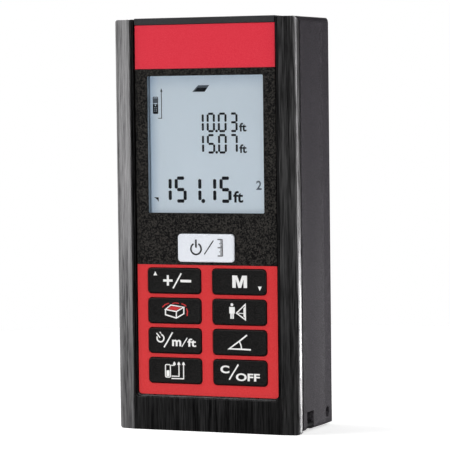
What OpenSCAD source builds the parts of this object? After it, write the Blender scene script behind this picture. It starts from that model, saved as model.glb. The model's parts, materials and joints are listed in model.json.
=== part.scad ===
// Pocket laser distance meter, standing upright on its rear end with the beam going up.
// Frame: X to the right, Y from the face to the back, Z up, millimetres.
// Origin: middle of the width and depth on the lowest plane. Depths, whose names end in _y or _back,
// are counted from the front of the metal frame, which lies at front_y.

/* [Body] */
// Width over the side rails
body_w = 57; // [56:0.5:72]
// Depth from the front frame to the back
body_d = 28; // [27.5:0.5:36]
// Height from the base to the beam end
body_h = 118; // [117:1:150]
// Corner radius seen from the front
corner_r = 1.4; // [0.8:0.1:3]
// Radius of the long front edges
front_edge_r = 2.2; // [1:0.1:2.5]
// Radius of the long rear edges
rear_edge_r = 3.2; // [2:0.1:4]
// Wall of the rear housing
wall = 2; // [1.6:0.1:2.6]
// Depth of the metal front frame
frame_d = 2.8; // [2.4:0.1:3.4]
// Gap of the joint line between frame and housing
seam = 0.3; // [0.2:0.05:0.6]
// How far the beam end cap stands above the rails
cap_proud = 0.25; // [0.1:0.05:1]
// How far the housing ends above the frame's base
base_gap = 0.7; // [0.3:0.1:1]

/* [Face] */
// Width of the face plate
panel_w = 43.2; // [42:0.1:44.5]
// Lower edge of the face plate above the base
panel_z0 = 10.2; // [9:0.1:11]
// Gap between the face plate and the frame
panel_gap = 0.4; // [0.2:0.05:0.6]
// How far the face plate lies behind the rails
panel_y = 0.8; // [0.7:0.05:1]
// Thickness of the face plate
panel_t = 1.2; // [1:0.1:1.5]
// Bright chamfer along the frame's opening
bevel = 0.45; // [0.2:0.05:0.7]
// Width of the frame's ledge behind the face plate
ledge_w = 1.6; // [1.2:0.1:1.9]
// Thickness of that ledge
ledge_t = 1; // [0.8:0.1:1.2]
// Height of the red header band
header_h = 12.6; // [10:0.1:13]
// Front lip of the beam end cap
cap_lip_h = 1.9; // [1.5:0.1:2.5]
// Thickness of the red inlays
inlay_t = 0.3; // [0.2:0.05:0.4]

/* [Display] */
// Width of the display opening
window_w = 35.8; // [33:0.1:36.5]
// Lower edge of the display opening
window_z0 = 62.4; // [61.8:0.1:63]
// Height of the display opening
window_h = 39.1; // [36:0.1:39.5]
// Border of the display parts behind the face plate
window_lap = 1.5; // [1:0.1:1.6]
// Thickness of the clear window
window_t = 0.8; // [0.6:0.1:1]
// Thickness of the gasket behind the window
gasket_t = 0.2; // [0.2:0.05:0.4]
// Thickness of the liquid crystal cell
lcd_t = 1.4; // [1.1:0.1:1.6]
// Thickness of the light guide
light_t = 1.2; // [0.8:0.1:1.4]

/* [Keys] */
// Width of a function key
key_w = 16.4; // [15:0.1:17.4]
// Height of a function key
key_h = 7.1; // [6:0.05:7.6]
// Spacing of the key rows
key_pitch = 8.6; // [8.5:0.05:8.7]
// Distance of a key column from the middle
key_x = 10.05; // [9.8:0.05:10.2]
// Upper edge of the top key row
keys_top = 46.55; // [46:0.05:46.8]
// Corner radius of a key
key_r = 1; // [0.5:0.1:2]
// How far a function key stands out of the face plate
key_proud = 0.45; // [0.2:0.05:0.6]
// Width of the measure key
measure_w = 17.3; // [15:0.1:18]
// Height of the measure key
measure_h = 8; // [7:0.1:8.4]
// Centre of the measure key above the base
measure_z = 52.5; // [52.3:0.1:52.7]
// How far the measure key stands out of the face plate
measure_proud = 0.65; // [0.3:0.05:0.7]
// Travel of every key
key_travel = 0.6; // [0.3:0.1:0.8]
// Gap between a key and its hole
key_gap = 0.2; // [0.15:0.05:0.25]
// Width of a key's hidden flange
flange_w = 0.35; // [0.25:0.05:0.4]
// Thickness of that flange
flange_t = 0.8; // [0.6:0.1:1]
// Radius of the peg behind a key
peg_r = 1.8; // [1.2:0.1:2.2]
// Length of that peg
peg_h = 0.6; // [0.4:0.1:0.8]

/* [Power] */
// Diameter of an AAA cell
cell_d = 10.5; // [10:0.1:12.5]
// Length of an AAA cell with its button
cell_l = 44.5; // [40:0.5:46]
// Gap round the cells
cell_gap = 0.4; // [0.2:0.05:0.6]
// Room for the springs at the end of the cells
spring_h = 3; // [2:0.1:3.5]
// Thickness of the battery door
door_t = 2; // [1.6:0.1:2.4]
// Gap round the battery door
door_gap = 0.25; // [0.2:0.05:0.4]
// Lower edge of the battery bay
bay_z0 = 22; // [21.5:0.1:23]
// Wall of the battery bay
bay_wall = 1.2; // [1:0.1:1.5]
// How far the door's seat reaches past the bay
door_lap = 0.7; // [0.5:0.05:0.8]
// Radius of the door's hinge stubs
stub_r = 0.5; // [0.4:0.05:0.6]
// Length of the door's hinge stubs
stub_l = 0.9; // [0.6:0.1:1.1]

/* [End piece] */
// Width of the fold-out end piece
end_w = 30; // [24:1:34]
// Diameter of its hinge pin
pin_d = 3; // [2:0.1:3.4]
// Distance of the pin from the back
pin_back = 6.5; // [6:0.1:7.5]
// Height of the pin above the base
pin_z = 4.4; // [4.2:0.1:5]
// Thickness of the end piece's arm
arm_t = 2.6; // [2:0.1:3]
// Top of the stowed arm above the base
arm_z1 = 19; // [14:0.5:19.5]
// Gap round the end piece
end_gap = 0.3; // [0.25:0.05:0.5]
// Running gap of the pin in the end piece
pin_gap = 0.05; // [0.02:0.01:0.1]

/* [Lanyard] */
// Front edge of the lanyard slot
slot_y = 5.8; // [5:0.1:6.5]
// Width of the lanyard slot
slot_w = 5.6; // [4.6:0.1:6]
// Height of the lanyard slot
slot_h = 6; // [5:0.1:6.5]
// Depth of the lanyard slot from the side
slot_x = 7.6; // [7:0.1:8.5]
// Diameter of the lanyard bar
bar_d = 2; // [1.6:0.1:2.4]
// Distance of the bar's surface from the side
bar_inset = 0.6; // [0.3:0.1:1]

/* [Optics] */
// Radius of the receiving lens
lens_r = 8; // [7:0.1:8.2]
// Distance of the receiving lens from the middle
lens_x = 6.5; // [6:0.1:7.5]
// Distance of the lens axis from the front frame's face
optics_y = 15; // [14.6:0.1:15.4]
// Outer radius of the laser barrel
barrel_r = 3.4; // [3:0.1:3.8]
// Distance of the laser barrel from the middle, on the left
barrel_x = 12; // [11.5:0.1:12.5]
// Radius of the laser aperture in the cap
aperture_r = 2.4; // [1.5:0.1:2.8]
// Length of the optics block
optics_l = 27; // [24:0.5:27.5]
// Depth of the beam end cap
cap_d = 24; // [23.5:0.1:24.5]

/* [Fasteners] */
// Nominal diameter of the tripod thread
tripod_d = 6.35; // [6.35:0.01:6.35]
// Depth of the tripod thread
tripod_l = 6; // [4:0.5:6.5]
// Outer diameter of the brass tripod insert
insert_d = 9.2; // [8.4:0.1:10]
// Shank diameter of a case screw
screw_d = 2; // [1.6:0.1:2.2]
// Shank diameter of an inner screw
small_screw_d = 1.4; // [1.2:0.1:1.6]
// Distance of the case screws from the outer side
screw_inset = 5.2; // [4.8:0.1:5.4]
// Height of the lower case screws
screw_z0 = 15; // [14:0.5:16]
// Distance of the upper case screws from the beam end
screw_top = 13; // [12:0.5:15]

/* [Board] */
// Front of the main board
board_y = 6.6; // [6.5:0.1:7]
// Thickness of the main board
board_t = 1.2; // [1:0.1:1.6]
// Width of the main board
board_w = 40.4; // [39:0.1:41]
// Clearance between pieces that only lie beside each other
fit_gap = 0.1; // [0.05:0.01:0.15]

/* [Hidden] */

$fn = 48;
cut = 1;
half_w = body_w / 2;
front_y = -body_d / 2;
rail_h = body_h - cap_proud;
open_w = panel_w + 2 * panel_gap;
open_z0 = panel_z0 - panel_gap;
panel_back = panel_y + panel_t;
ledge_back = panel_back + ledge_t;
panel_z1 = body_h - cap_lip_h;
header_z0 = panel_z1 - header_h;
keypad_z1 = keys_top + 1.05;
key_back = panel_back + fit_gap + flange_t;
peg_back = key_back + peg_h;
mat_front = peg_back + key_travel + 0.2;
mat_web = 5.4;
mat_z0 = panel_z0 + 2.2;
mat_z1 = measure_z + measure_h / 2 + 1;
holder_rim = 0.9;
dome_h = 0.4;
dome_r = 2.4;
lcd_y = panel_back + window_t + gasket_t;
light_y = lcd_y + lcd_t;
holder_z0 = window_z0 - window_lap - holder_rim;
holder_z1 = window_z0 + window_h + window_lap + holder_rim;
holder_x = window_w / 2 + window_lap + holder_rim;
board_back = board_y + board_t;
board_z0 = panel_z0 - 2.2;
post_r = 1.7;
low_post = [15, panel_z0 - 0.2];
mid_post = [17.6, (mat_z1 + holder_z0) / 2];
housing_y0 = frame_d + seam;
screw_x = half_w - screw_inset;
screw_z1 = body_h - screw_top;
boss_y = 9.2;
boss_r = 3.2;
head_y = boss_y + wall;
screw_head_r = 1.9;
screw_head_h = 1.3;
thread_gap = 0.02;
post_hole_r = small_screw_d / 2 + thread_gap;
board_hole_r = small_screw_d / 2 + 0.1;
cell_r = cell_d / 2;
cell_x = cell_r + 0.35;
bay_x = cell_x + cell_r + cell_gap;
bay_z1 = bay_z0 + cell_l + 2 * spring_h;
door_y = body_d - door_t;
cell_y = door_y - cell_gap - cell_r;
bay_y0 = cell_y - cell_r - cell_gap;
door_edge_r = door_t / 2;
groove_r = 0.6;
groove_pitch = 1.8;
groove_half = 7;
contact_t = 0.4;
pin_y = body_d - pin_back;
hub_r = pin_z;
heel_r = 2.4;
deep_r = pin_back + 0.8;
deep_y0 = pin_y - deep_r;
tub_wall = 1.2;
arm_y0 = body_d - arm_t;
bar_x = half_w - bar_inset - bar_d / 2;
bar_z = 2;
slot_wall = 1.4;
tripod_z = bay_z1 + bay_wall + insert_d / 2 + 1.4;
insert_l = tripod_l + 1;
lens_h = 4.2;
block_z1 = rail_h - 3.4;
block_z0 = block_z1 - optics_l;
block_step = block_z1 - 10;
optics_screw_x = -3.5;
optics_screw_z = [block_z0 + 4, block_z0 + 12];
board_edge = 4.45;
board_z1 = max(optics_screw_z[1] + board_edge, holder_z1 - fit_gap);
cap_z0 = rail_h - wall;
cap_y0 = panel_y - 0.1;
label_t = 0.15;
label_z0 = tripod_z + insert_d / 2 + 5;

// Extrudes an outline drawn in X and Z from the depth y0 to y1
module along_y(y0, y1) {
    translate([0, front_y + y1, 0]) rotate([90, 0, 0]) linear_extrude(y1 - y0) children();
}

// Extrudes an outline drawn in depth and Z from x0 to x1
module along_x(x0, x1) {
    translate([x0, front_y, 0]) rotate([90, 0, 90]) linear_extrude(x1 - x0) children();
}

// A round bar along Y
module rod_y(x, z, r, y0, y1) {
    along_y(y0, y1) translate([x, z]) circle(r);
}

// A block between two corners
module block(a, b) {
    translate(a + [0, front_y, 0]) cube(b - a);
}

// Places a shape at a depth and a height
module at(x, y, z) {
    translate([x, front_y + y, z]) children();
}

// An outline between two corners
module plate(a, b) {
    translate(a) square(b - a);
}

// A rectangle with round corners, round its centre
module round_plate(w, h, r) {
    square([w - 2 * r, h], center = true);
    square([w, h - 2 * r], center = true);
    for (x = [-1, 1], y = [-1, 1]) translate([x * (w / 2 - r), y * (h / 2 - r)]) circle(r);
}

// The body's outline from above, with its four long edges rounded
module plan_outline() {
    plate([-half_w, front_edge_r], [half_w, body_d - rear_edge_r]);
    plate([-half_w + front_edge_r, 0], [half_w - front_edge_r, body_d - rear_edge_r]);
    plate([-half_w + rear_edge_r, front_edge_r], [half_w - rear_edge_r, body_d]);
    for (x = [-1, 1]) {
        translate([x * (half_w - front_edge_r), front_edge_r]) circle(front_edge_r);
        translate([x * (half_w - rear_edge_r), body_d - rear_edge_r]) circle(rear_edge_r);
    }
}

// The body as one solid between two depths, from the height z0 to the top of the rails
module body_solid(y0, y1, z0) {
    intersection() {
        translate([0, front_y, 0]) linear_extrude(body_h) plan_outline();
        along_y(y0, y1) translate([0, (z0 + rail_h) / 2]) round_plate(body_w, rail_h - z0, corner_r);
    }
}

// The frame's opening, open at the beam end
module opening(grow) {
    r = 1.2;
    w = open_w / 2 + grow;
    z = open_z0 - grow;
    plate([-w, z + r], [w, body_h + cut]);
    plate([-w + r, z], [w - r, z + 2 * r]);
    for (x = [-1, 1]) translate([x * (w - r), z + r]) circle(r);
}

// U-shaped frame of brushed metal with the ledge that carries the face plate
module front_frame() color("#26272a") {
    difference() {
        union() {
            difference() {
                body_solid(0, frame_d, 0);
                along_y(-cut, frame_d + cut) opening(0);
                along_y(-cut, bevel) opening(bevel);
            }
            intersection() {
                along_y(panel_back, ledge_back) difference() {
                    plate([-half_w + wall + 1, wall + 1], [half_w - wall - 1, rail_h - 4]);
                    opening(-ledge_w);
                }
                body_solid(0, body_d, 0);
            }
            for (x = [-1, 1], z = [screw_z0, screw_z1])
                rod_y(x * screw_x, z, 2.1, frame_d - 0.5, boss_y - 0.2);
            for (x = [-1, 1]) rod_y(x * low_post[0], low_post[1], post_r, panel_back, board_y);
        }
        for (x = [-1, 1], z = [screw_z0, screw_z1])
            rod_y(x * screw_x, z, screw_d / 2 + thread_gap, frame_d, boss_y);
        for (x = [-1, 1])
            rod_y(x * low_post[0], low_post[1], post_hole_r, panel_back + 1, board_y + cut);
    }
}

// Holes in the keypad, each wider than its key by a gap all round
module key_holes(gap) {
    for (side = [-1, 1], row = [0:3])
        translate([side * key_x, keys_top - key_h / 2 - row * key_pitch])
            round_plate(key_w + 2 * gap, key_h + 2 * gap, key_r + gap);
}

// Outline of the header band, of the keypad field and of the display opening
module header_outline() {
    plate([-panel_w / 2, header_z0], [panel_w / 2, panel_z1]);
}

module keypad_outline() {
    r = 1;
    plate([-panel_w / 2, panel_z0 + r], [panel_w / 2, keypad_z1]);
    plate([-panel_w / 2 + r, panel_z0], [panel_w / 2 - r, panel_z0 + 2 * r]);
    for (x = [-1, 1]) translate([x * (panel_w / 2 - r), panel_z0 + r]) circle(r);
}

module panel_outline() {
    keypad_outline();
    plate([-panel_w / 2, keypad_z1 - cut], [panel_w / 2, panel_z1]);
}

module window_outline() {
    translate([0, window_z0 + window_h / 2]) round_plate(window_w, window_h, 0.4);
}

// Inset face plate with the display opening, the key holes and two board posts
module face_plate() color("#1d1d1f") difference() {
    union() {
        along_y(panel_y, panel_back) difference() {
            panel_outline();
            window_outline();
            key_holes(key_gap);
            translate([0, measure_z])
                round_plate(measure_w + 2 * key_gap, measure_h + 2 * key_gap, key_r + key_gap);
        }
        for (x = [-1, 1]) rod_y(x * mid_post[0], mid_post[1], 1.2, panel_back - 0.1, board_y);
    }
    along_y(panel_y - cut, panel_y + inlay_t) {
        header_outline();
        keypad_outline();
    }
    for (x = [-1, 1])
        rod_y(x * mid_post[0], mid_post[1], post_hole_r, panel_back + 0.5, board_y + cut);
}

// Thin red band across the beam end
module header_inlay() color("#e23a4e") along_y(panel_y, panel_y + inlay_t) header_outline();

// Thin red field round the function keys
module keypad_inlay() color("#c92d33") along_y(panel_y, panel_y + inlay_t) difference() {
    keypad_outline();
    key_holes(key_gap);
}

// Clear window, gasket and the display behind it
module display_outline() {
    translate([0, window_z0 + window_h / 2])
        square([window_w + 2 * window_lap, window_h + 2 * window_lap], center = true);
}

module display_window() color("#dfe8ee", 0.4) along_y(panel_back, panel_back + window_t) display_outline();

module display_gasket() color("#111112") along_y(panel_back + window_t, lcd_y) difference() {
    display_outline();
    window_outline();
}

module lcd_cell() color("#b8c2cb") along_y(lcd_y, light_y) display_outline();

module lcd_light_guide() color("#eef2f6") along_y(light_y, light_y + light_t)
    translate([0, window_z0 + window_h / 2])
        square([window_w + 2 * window_lap - 1, window_h + 0.4], center = true);

// Plastic tray that holds the display against the board
module lcd_holder() color("#e6e7e4") along_y(lcd_y, board_y) difference() {
    plate([-holder_x, holder_z0], [holder_x, holder_z1]);
    translate([0, window_z0 + window_h / 2])
        square([window_w + 2 * window_lap + 0.1, window_h + 2 * window_lap + 0.1], center = true);
}

// Rubber contact strips from the cell's edges to the board
module lcd_connectors() color("#39393c")
    for (z = [window_z0 - window_lap + 0.1, window_z0 + window_h + window_lap - 1.1])
        block([-window_w / 2, light_y, z], [window_w / 2, board_y, z + 1]);

// Positions of all nine keys, as X and Z pairs
key_places = concat(
    [[0, measure_z]],
    [for (row = [0:3], side = [-1, 1]) [side * key_x, keys_top - key_h / 2 - row * key_pitch]]
);

// Silicone mat with a boss in front of each snap dome
module keypad_mat() color("#55585c") difference() {
    union() {
        along_y(mat_web, board_y) plate([-board_w / 2, mat_z0], [board_w / 2, mat_z1]);
        for (p = key_places) rod_y(p[0], p[1], 2.2, mat_front, mat_web);
    }
    for (p = key_places) rod_y(p[0], p[1], dome_r + 0.3, board_y - dome_h - 0.3, board_y + cut);
    for (x = [-1, 1]) rod_y(x * mid_post[0], mid_post[1], 1.5, mat_web - cut, board_y + cut);
}

// Steel snap domes on the board, one under each key
module snap_domes() color("#c9ccd0")
    for (p = key_places)
        at(p[0], board_y, p[1]) rotate([90, 0, 0]) cylinder(h = dome_h, r1 = dome_r, r2 = 1.1);

// A key cap with its hidden flange and peg
module key_cap(x, z, w, h, proud) {
    along_y(panel_y - proud, panel_back + fit_gap) translate([x, z]) round_plate(w, h, key_r);
    along_y(panel_back + fit_gap, key_back)
        translate([x, z]) round_plate(w + 2 * flange_w, h + 2 * flange_w, key_r + flange_w);
    rod_y(x, z, peg_r, key_back, peg_back);
}

// A function key by column, -1 or 1, and row from the top, 0 to 3
module function_key(side, row) color("#161617")
    key_cap(side * key_x, keys_top - key_h / 2 - row * key_pitch, key_w, key_h, key_proud);

module measure_key() color("#e9ecef") key_cap(0, measure_z, measure_w, measure_h, measure_proud);

module plus_minus_key() function_key(-1, 0);

module memory_key() function_key(1, 0);

module area_volume_key() function_key(-1, 1);

module pythagoras_key() function_key(1, 1);

module timer_units_key() function_key(-1, 2);

module angle_key() function_key(1, 2);

module reference_key() function_key(-1, 3);

module clear_off_key() function_key(1, 3);

// Main circuit board
module main_board() color("#1f6b46") difference() {
    along_y(board_y, board_back) plate([-board_w / 2, board_z0], [board_w / 2, board_z1]);
    for (p = [low_post, mid_post], x = [-1, 1])
        rod_y(x * p[0], p[1], board_hole_r, board_y - cut, board_back + cut);
    for (z = optics_screw_z) rod_y(optics_screw_x, z, board_hole_r, board_y - cut, board_back + cut);
}

// Chips on the back of the board: processor, memory, supply and measuring circuit
module board_chips() color("#17181a") {
    for (c = [[-8, 48, 9], [7, 52, 6], [-9, 66, 5], [9, 76, 7]])
        along_y(board_back, board_back + 1.4) translate([c[0], c[1]]) square(c[2], center = true);
}

module buzzer() color("#0f0f10") difference() {
    rod_y(12, 25, 5, board_back, board_back + 2.6);
    rod_y(12, 25, 0.9, board_back + 1.6, board_back + 2.6 + cut);
}

module tilt_sensor() color("#8d9094") block([-14, board_back, 26], [-10, board_back + 1.1, 30]);

// A pan-head screw along Y with its head at the back
module screw(x, z, y_tip, y_seat, r, head_r, head_h) {
    difference() {
        union() {
            rod_y(x, z, r, y_tip, y_seat);
            rod_y(x, z, head_r, y_seat, y_seat + head_h);
        }
        along_y(y_seat + head_h / 2, y_seat + head_h + cut) translate([x, z]) {
            square([head_r * 1.2, head_r * 0.3], center = true);
            square([head_r * 0.3, head_r * 1.2], center = true);
        }
    }
}

// Four screws that hold the board to the frame and to the face plate
module board_screws() color("#b9bcc0") {
    for (x = [-1, 1]) {
        screw(x * low_post[0], low_post[1], panel_back + 1.2, board_back, small_screw_d / 2, 1.3, 0.9);
        screw(x * mid_post[0], mid_post[1], panel_back + 0.8, board_back, small_screw_d / 2, 1.3, 0.9);
    }
}

// Cast block that holds the receiving lens and the laser barrel
module optics_block() color("#9a9da1") difference() {
    union() {
        block([-barrel_x - 5.6, optics_y - lens_r - 0.9, block_step],
              [lens_x + lens_r + 1.5, optics_y + lens_r + 0.9, block_z1]);
        block([-barrel_x - 4.6, optics_y - 6, block_z0], [lens_x + 6.6, optics_y + 6, block_step + 0.5]);
        for (z = optics_screw_z) rod_y(optics_screw_x, z, 2, board_back, optics_y);
    }
    at(lens_x, optics_y, block_step) cylinder(h = block_z1 - block_step + cut, r = lens_r + 0.05);
    at(lens_x, optics_y, block_z0 - cut) cylinder(h = optics_l + 2 * cut, r = 5);
    at(-barrel_x, optics_y, block_z0 - cut) cylinder(h = optics_l + 2 * cut, r = barrel_r + 0.05);
    for (z = optics_screw_z) rod_y(optics_screw_x, z, post_hole_r, 0, body_d);
}

// Flat glass lens with a domed outer face
module receiver_lens() color("#7f9fb8", 0.6) at(lens_x, optics_y, block_z1 - lens_h - 0.2) {
    dome = 1.7;
    ball = (lens_r * lens_r + dome * dome) / (2 * dome);
    cylinder(h = lens_h - dome, r = lens_r);
    intersection() {
        cylinder(h = lens_h, r = lens_r);
        translate([0, 0, lens_h - ball]) sphere(r = ball, $fn = 96);
    }
}

// Brass barrel with the laser diode at its foot and the collimator near its mouth
module laser_barrel() color("#b08d4a") at(-barrel_x, optics_y, block_z0 + 2) difference() {
    cylinder(h = optics_l - 2.4, r = barrel_r);
    translate([0, 0, -cut]) cylinder(h = optics_l, r = barrel_r - 0.6);
}

module laser_diode() color("#caa55a") at(-barrel_x, optics_y, block_z0 + 2) {
    cylinder(h = 1.2, r = barrel_r - 0.65);
    cylinder(h = 4, r = 1.7);
    for (a = [0, 120, 240]) rotate(a) translate([1.1, 0, -4]) cylinder(h = 4, r = 0.22);
}

module collimator_lens() color("#9db6c8", 0.6) at(-barrel_x, optics_y, block_z1 - 6)
    cylinder(h = 2, r = barrel_r - 0.65);

// Small board with the light detector under the receiving lens
module detector_board() color("#1f6b46") {
    z1 = block_z0 - fit_gap;
    difference() {
        block([lens_x - 7.5, optics_y - 5.8, z1 - 1], [lens_x + 6.5, optics_y + 5.8, z1]);
        at(lens_x, optics_y, z1 - 0.4) cylinder(h = 1, r = 2.05);
    }
    at(lens_x, optics_y, z1 - 0.4) cylinder(h = 2.6, r = 2.05);
}

// Flat ribbon from the detector board to the main board
module detector_ribbon() color("#c98b2c") {
    t = 0.2;
    z = block_z0 - fit_gap - 1;
    y = board_back;
    along_x(lens_x - 4, lens_x + 3) polygon([
        [y, z - 6], [y + t, z - 6], [y + t, z - 2.2], [y + 1.4, z - t], [optics_y - 4.5, z - t],
        [optics_y - 4.5, z], [y + 1.3, z], [y, z - 2.1]
    ]);
}

// Two long screws through the optics block into the main board
module optics_screws() color("#b9bcc0")
    for (z = optics_screw_z)
        screw(optics_screw_x, z, board_y, optics_y + 6, small_screw_d / 2, 1.3, 0.9);

// Dark cap at the beam end with the apertures for the lens and the laser
module end_cap() color("#2c2c30") difference() {
    union() {
        block([-panel_w / 2, cap_y0, panel_z1 + fit_gap / 2], [panel_w / 2, housing_y0, body_h]);
        block([-panel_w / 2 + fit_gap, housing_y0 - fit_gap, cap_z0],
              [panel_w / 2 - fit_gap, cap_d - fit_gap, body_h]);
    }
    at(lens_x, optics_y, cap_z0 - cut) cylinder(h = wall + cap_proud + 2 * cut, r = lens_r - 0.4);
    at(-barrel_x, optics_y, cap_z0 - cut) cylinder(h = wall + cap_proud + 2 * cut, r = aperture_r);
    at(-barrel_x, optics_y, body_h - 0.6) cylinder(h = 0.6 + cut, r = aperture_r + 1.4);
}

// The space that the end piece needs while it folds from the back to below the base
module end_room() {
    x = end_w / 2 + end_gap;
    along_x(-x, x) {
        translate([pin_y, pin_z]) circle(deep_r);
        plate([deep_y0, -cut], [body_d + cut, pin_z]);
        plate([arm_y0 - end_gap, pin_z], [body_d + cut, arm_z1 + end_gap]);
    }
}

// Inner walls that close the housing off from that space
module end_tub() {
    x = end_w / 2 + end_gap + tub_wall;
    along_x(-x, x) {
        translate([pin_y, pin_z]) circle(deep_r + tub_wall);
        plate([deep_y0 - tub_wall, 0], [body_d - 1, pin_z]);
        plate([arm_y0 - end_gap - tub_wall, pin_z], [body_d - 1, arm_z1 + end_gap + tub_wall]);
    }
}

// The battery bay with the seat of its door and the two hinge sockets
module bay_room() {
    block([-bay_x, bay_y0, bay_z0], [bay_x, body_d + cut, bay_z1]);
    seat_x = bay_x + door_lap;
    x = seat_x + stub_l;
    block([-seat_x, door_y, bay_z0 - door_gap], [seat_x, body_d + cut, bay_z1 + door_lap]);
    along_x(-x, x) translate([door_y + door_edge_r, bay_z0 + door_edge_r]) circle(stub_r + door_gap);
}

// Rear housing of soft-coated plastic
module rear_housing() color("#3f3d42") difference() {
    union() {
        difference() {
            body_solid(housing_y0, body_d, base_gap);
            block([-half_w + wall, housing_y0 - cut, base_gap + wall],
                  [half_w - wall, body_d - wall, rail_h - wall]);
        }
        intersection() {
            body_solid(housing_y0, body_d - 0.5, base_gap);
            union() {
                end_tub();
                block([-bay_x - bay_wall, bay_y0 - bay_wall, bay_z0 - bay_wall],
                      [bay_x + bay_wall, body_d - 1, bay_z1 + bay_wall]);
                block([half_w - slot_x - slot_wall, slot_y - slot_wall, 0],
                      [half_w, slot_y + slot_w + slot_wall, slot_h + slot_wall]);
                rod_y(0, tripod_z, insert_d / 2 + 1.4, body_d - insert_l - 1.2, body_d - 1);
                for (x = [-1, 1]) translate([x * (bay_x + door_lap + stub_l), 0, 0])
                    block([-1.8, door_y - 1.6, bay_z0 - 1], [1.8, body_d - 1, bay_z0 + door_t + 1]);
                for (x = [-1, 1], z = [screw_z0, screw_z1])
                    rod_y(x * screw_x, z, boss_r, boss_y, body_d - 1);
            }
        }
    }
    end_room();
    bay_room();
    block([half_w - slot_x, slot_y, -cut], [half_w + cut, slot_y + slot_w, slot_h]);
    rod_y(bar_x, bar_z, bar_d / 2 + thread_gap, slot_y - 0.9, slot_y + slot_w + 0.9);
    rod_y(0, tripod_z, insert_d / 2, body_d - insert_l, body_d + cut);
    block([-panel_w / 2, housing_y0 - cut, cap_z0 - cut], [panel_w / 2, cap_d, body_h + cut]);
    for (x = [-1, 1], z = [screw_z0, screw_z1]) {
        rod_y(x * screw_x, z, screw_d / 2 + 0.15, boss_y - cut, body_d + cut);
        rod_y(x * screw_x, z, screw_head_r + 0.3, head_y, body_d + cut);
    }
    along_x(-end_w / 2 - 20, end_w / 2 + 20) translate([pin_y, pin_z]) circle(pin_d / 2 + thread_gap);
    block([-11 - 0.2, body_d - label_t, label_z0 - 0.2], [11 + 0.2, body_d + cut, label_z0 + 16.2]);
}

// Thin seal in the joint line, set back from the outside
module housing_seal() color("#0d0d0e") along_y(frame_d, housing_y0) difference() {
    translate([0, rail_h / 2]) round_plate(body_w - 1.4, rail_h - 1.4, corner_r);
    translate([0, rail_h / 2]) round_plate(body_w - 3.4, rail_h - 3.4, corner_r);
    plate([-half_w + 3, rail_h - 3], [half_w - 3, body_h]);
}

// Battery door: a flush plate on two hinge stubs, with finger grooves near its free end
module battery_door() color("#37363a") difference() {
    x = bay_x + door_lap - door_gap;
    hinge = [door_y + door_edge_r, bay_z0 + door_edge_r];
    union() {
        along_x(-x, x) {
            translate(hinge) circle(door_edge_r);
            plate([door_y, hinge[1]], [body_d, bay_z1 + door_lap - door_gap]);
        }
        along_x(-x - stub_l, x + stub_l) translate(hinge) circle(stub_r);
    }
    for (i = [1:5]) along_x(-groove_half, groove_half)
        translate([body_d + 0.2, bay_z1 - i * groove_pitch]) circle(groove_r);
}

// An AAA cell standing on its flat end or on its button
module cell(x, up) {
    nub_h = 0.9;
    z0 = bay_z0 + spring_h + (up ? 0 : nub_h);
    at(x, cell_y, 0) {
        translate([0, 0, z0]) cylinder(h = cell_l - nub_h, r = cell_r);
        translate([0, 0, up ? z0 + cell_l - nub_h : bay_z0 + spring_h]) cylinder(h = nub_h, r = 1.9);
    }
}

module battery_left() color("#c9a23a") cell(-cell_x, true);

module battery_right() color("#c9a23a") cell(cell_x, false);

// Conical springs that press on the flat ends of the cells
module battery_springs() color("#cfd2d6")
    for (s = [[-cell_x, bay_z0 + contact_t, 0], [cell_x, bay_z1 - contact_t, 180]])
        at(s[0], cell_y, s[1]) rotate([s[2], 0, 0]) difference() {
            cylinder(h = spring_h - contact_t, r1 = 3.4, r2 = 2.2);
            translate([0, 0, -cut]) cylinder(h = spring_h + 2 * cut, r = 1.6);
        }

// Contact plates at both ends of the battery bay
module battery_contacts() color("#d4d7da") {
    for (x = [-1, 1])
        block([x * cell_x - 4.6, cell_y - 4.5, bay_z1 - contact_t],
            [x * cell_x + 4.6, cell_y + 4.5, bay_z1]);
    block([-cell_x - 4.6, cell_y - 4.5, bay_z0], [cell_x + 4.6, cell_y + 4.5, bay_z0 + contact_t]);
    at(-cell_x, cell_y, bay_z1 - contact_t - 2.4) cylinder(h = 2.4, r = 1.6);
    at(cell_x, cell_y, bay_z0 + contact_t) cylinder(h = 2.4, r = 1.6);
}

// Fold-out end piece: hub, heel and arm, with a pocket for its magnet
module end_piece() color("#2b2b2e") difference() {
    along_x(-end_w / 2, end_w / 2) {
        translate([pin_y, pin_z]) circle(hub_r);
        plate([pin_y, pin_z - hub_r], [body_d - heel_r, pin_z + hub_r - 0.6]);
        plate([arm_y0, pin_z - hub_r + heel_r], [body_d, arm_z1]);
        translate([body_d - heel_r, pin_z - hub_r + heel_r]) circle(heel_r);
    }
    along_x(-end_w / 2 - cut, end_w / 2 + cut) translate([pin_y, pin_z]) circle(pin_d / 2 + pin_gap);
    rod_y(-end_w / 2 + 4, arm_z1 - 3, 1.5, arm_y0 - cut, arm_y0 + 1.5);
}

module end_piece_magnet() color("#b4b7bb") rod_y(-end_w / 2 + 4, arm_z1 - 3, 1.5, arm_y0, arm_y0 + 1.5);

// Steel hinge pin through both sides of the housing
module end_piece_pin() color("#8f9296")
    along_x(-half_w + 1.2, half_w - 1.2) translate([pin_y, pin_z]) circle(pin_d / 2);

module lanyard_bar() color("#77797d") rod_y(bar_x, bar_z, bar_d / 2, slot_y - 0.9, slot_y + slot_w + 0.9);

// Brass insert with the tripod thread
module tripod_insert() color("#b89b52") difference() {
    rod_y(0, tripod_z, insert_d / 2, body_d - insert_l, body_d);
    rod_y(0, tripod_z, tripod_d / 2, body_d - tripod_l, body_d + cut);
}

// Four long-reach screws that hold the housing to the frame
module case_screws() color("#6d7074")
    for (x = [-1, 1], z = [screw_z0, screw_z1])
        screw(x * screw_x, z, frame_d + 0.6, head_y, screw_d / 2, screw_head_r, screw_head_h);

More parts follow.
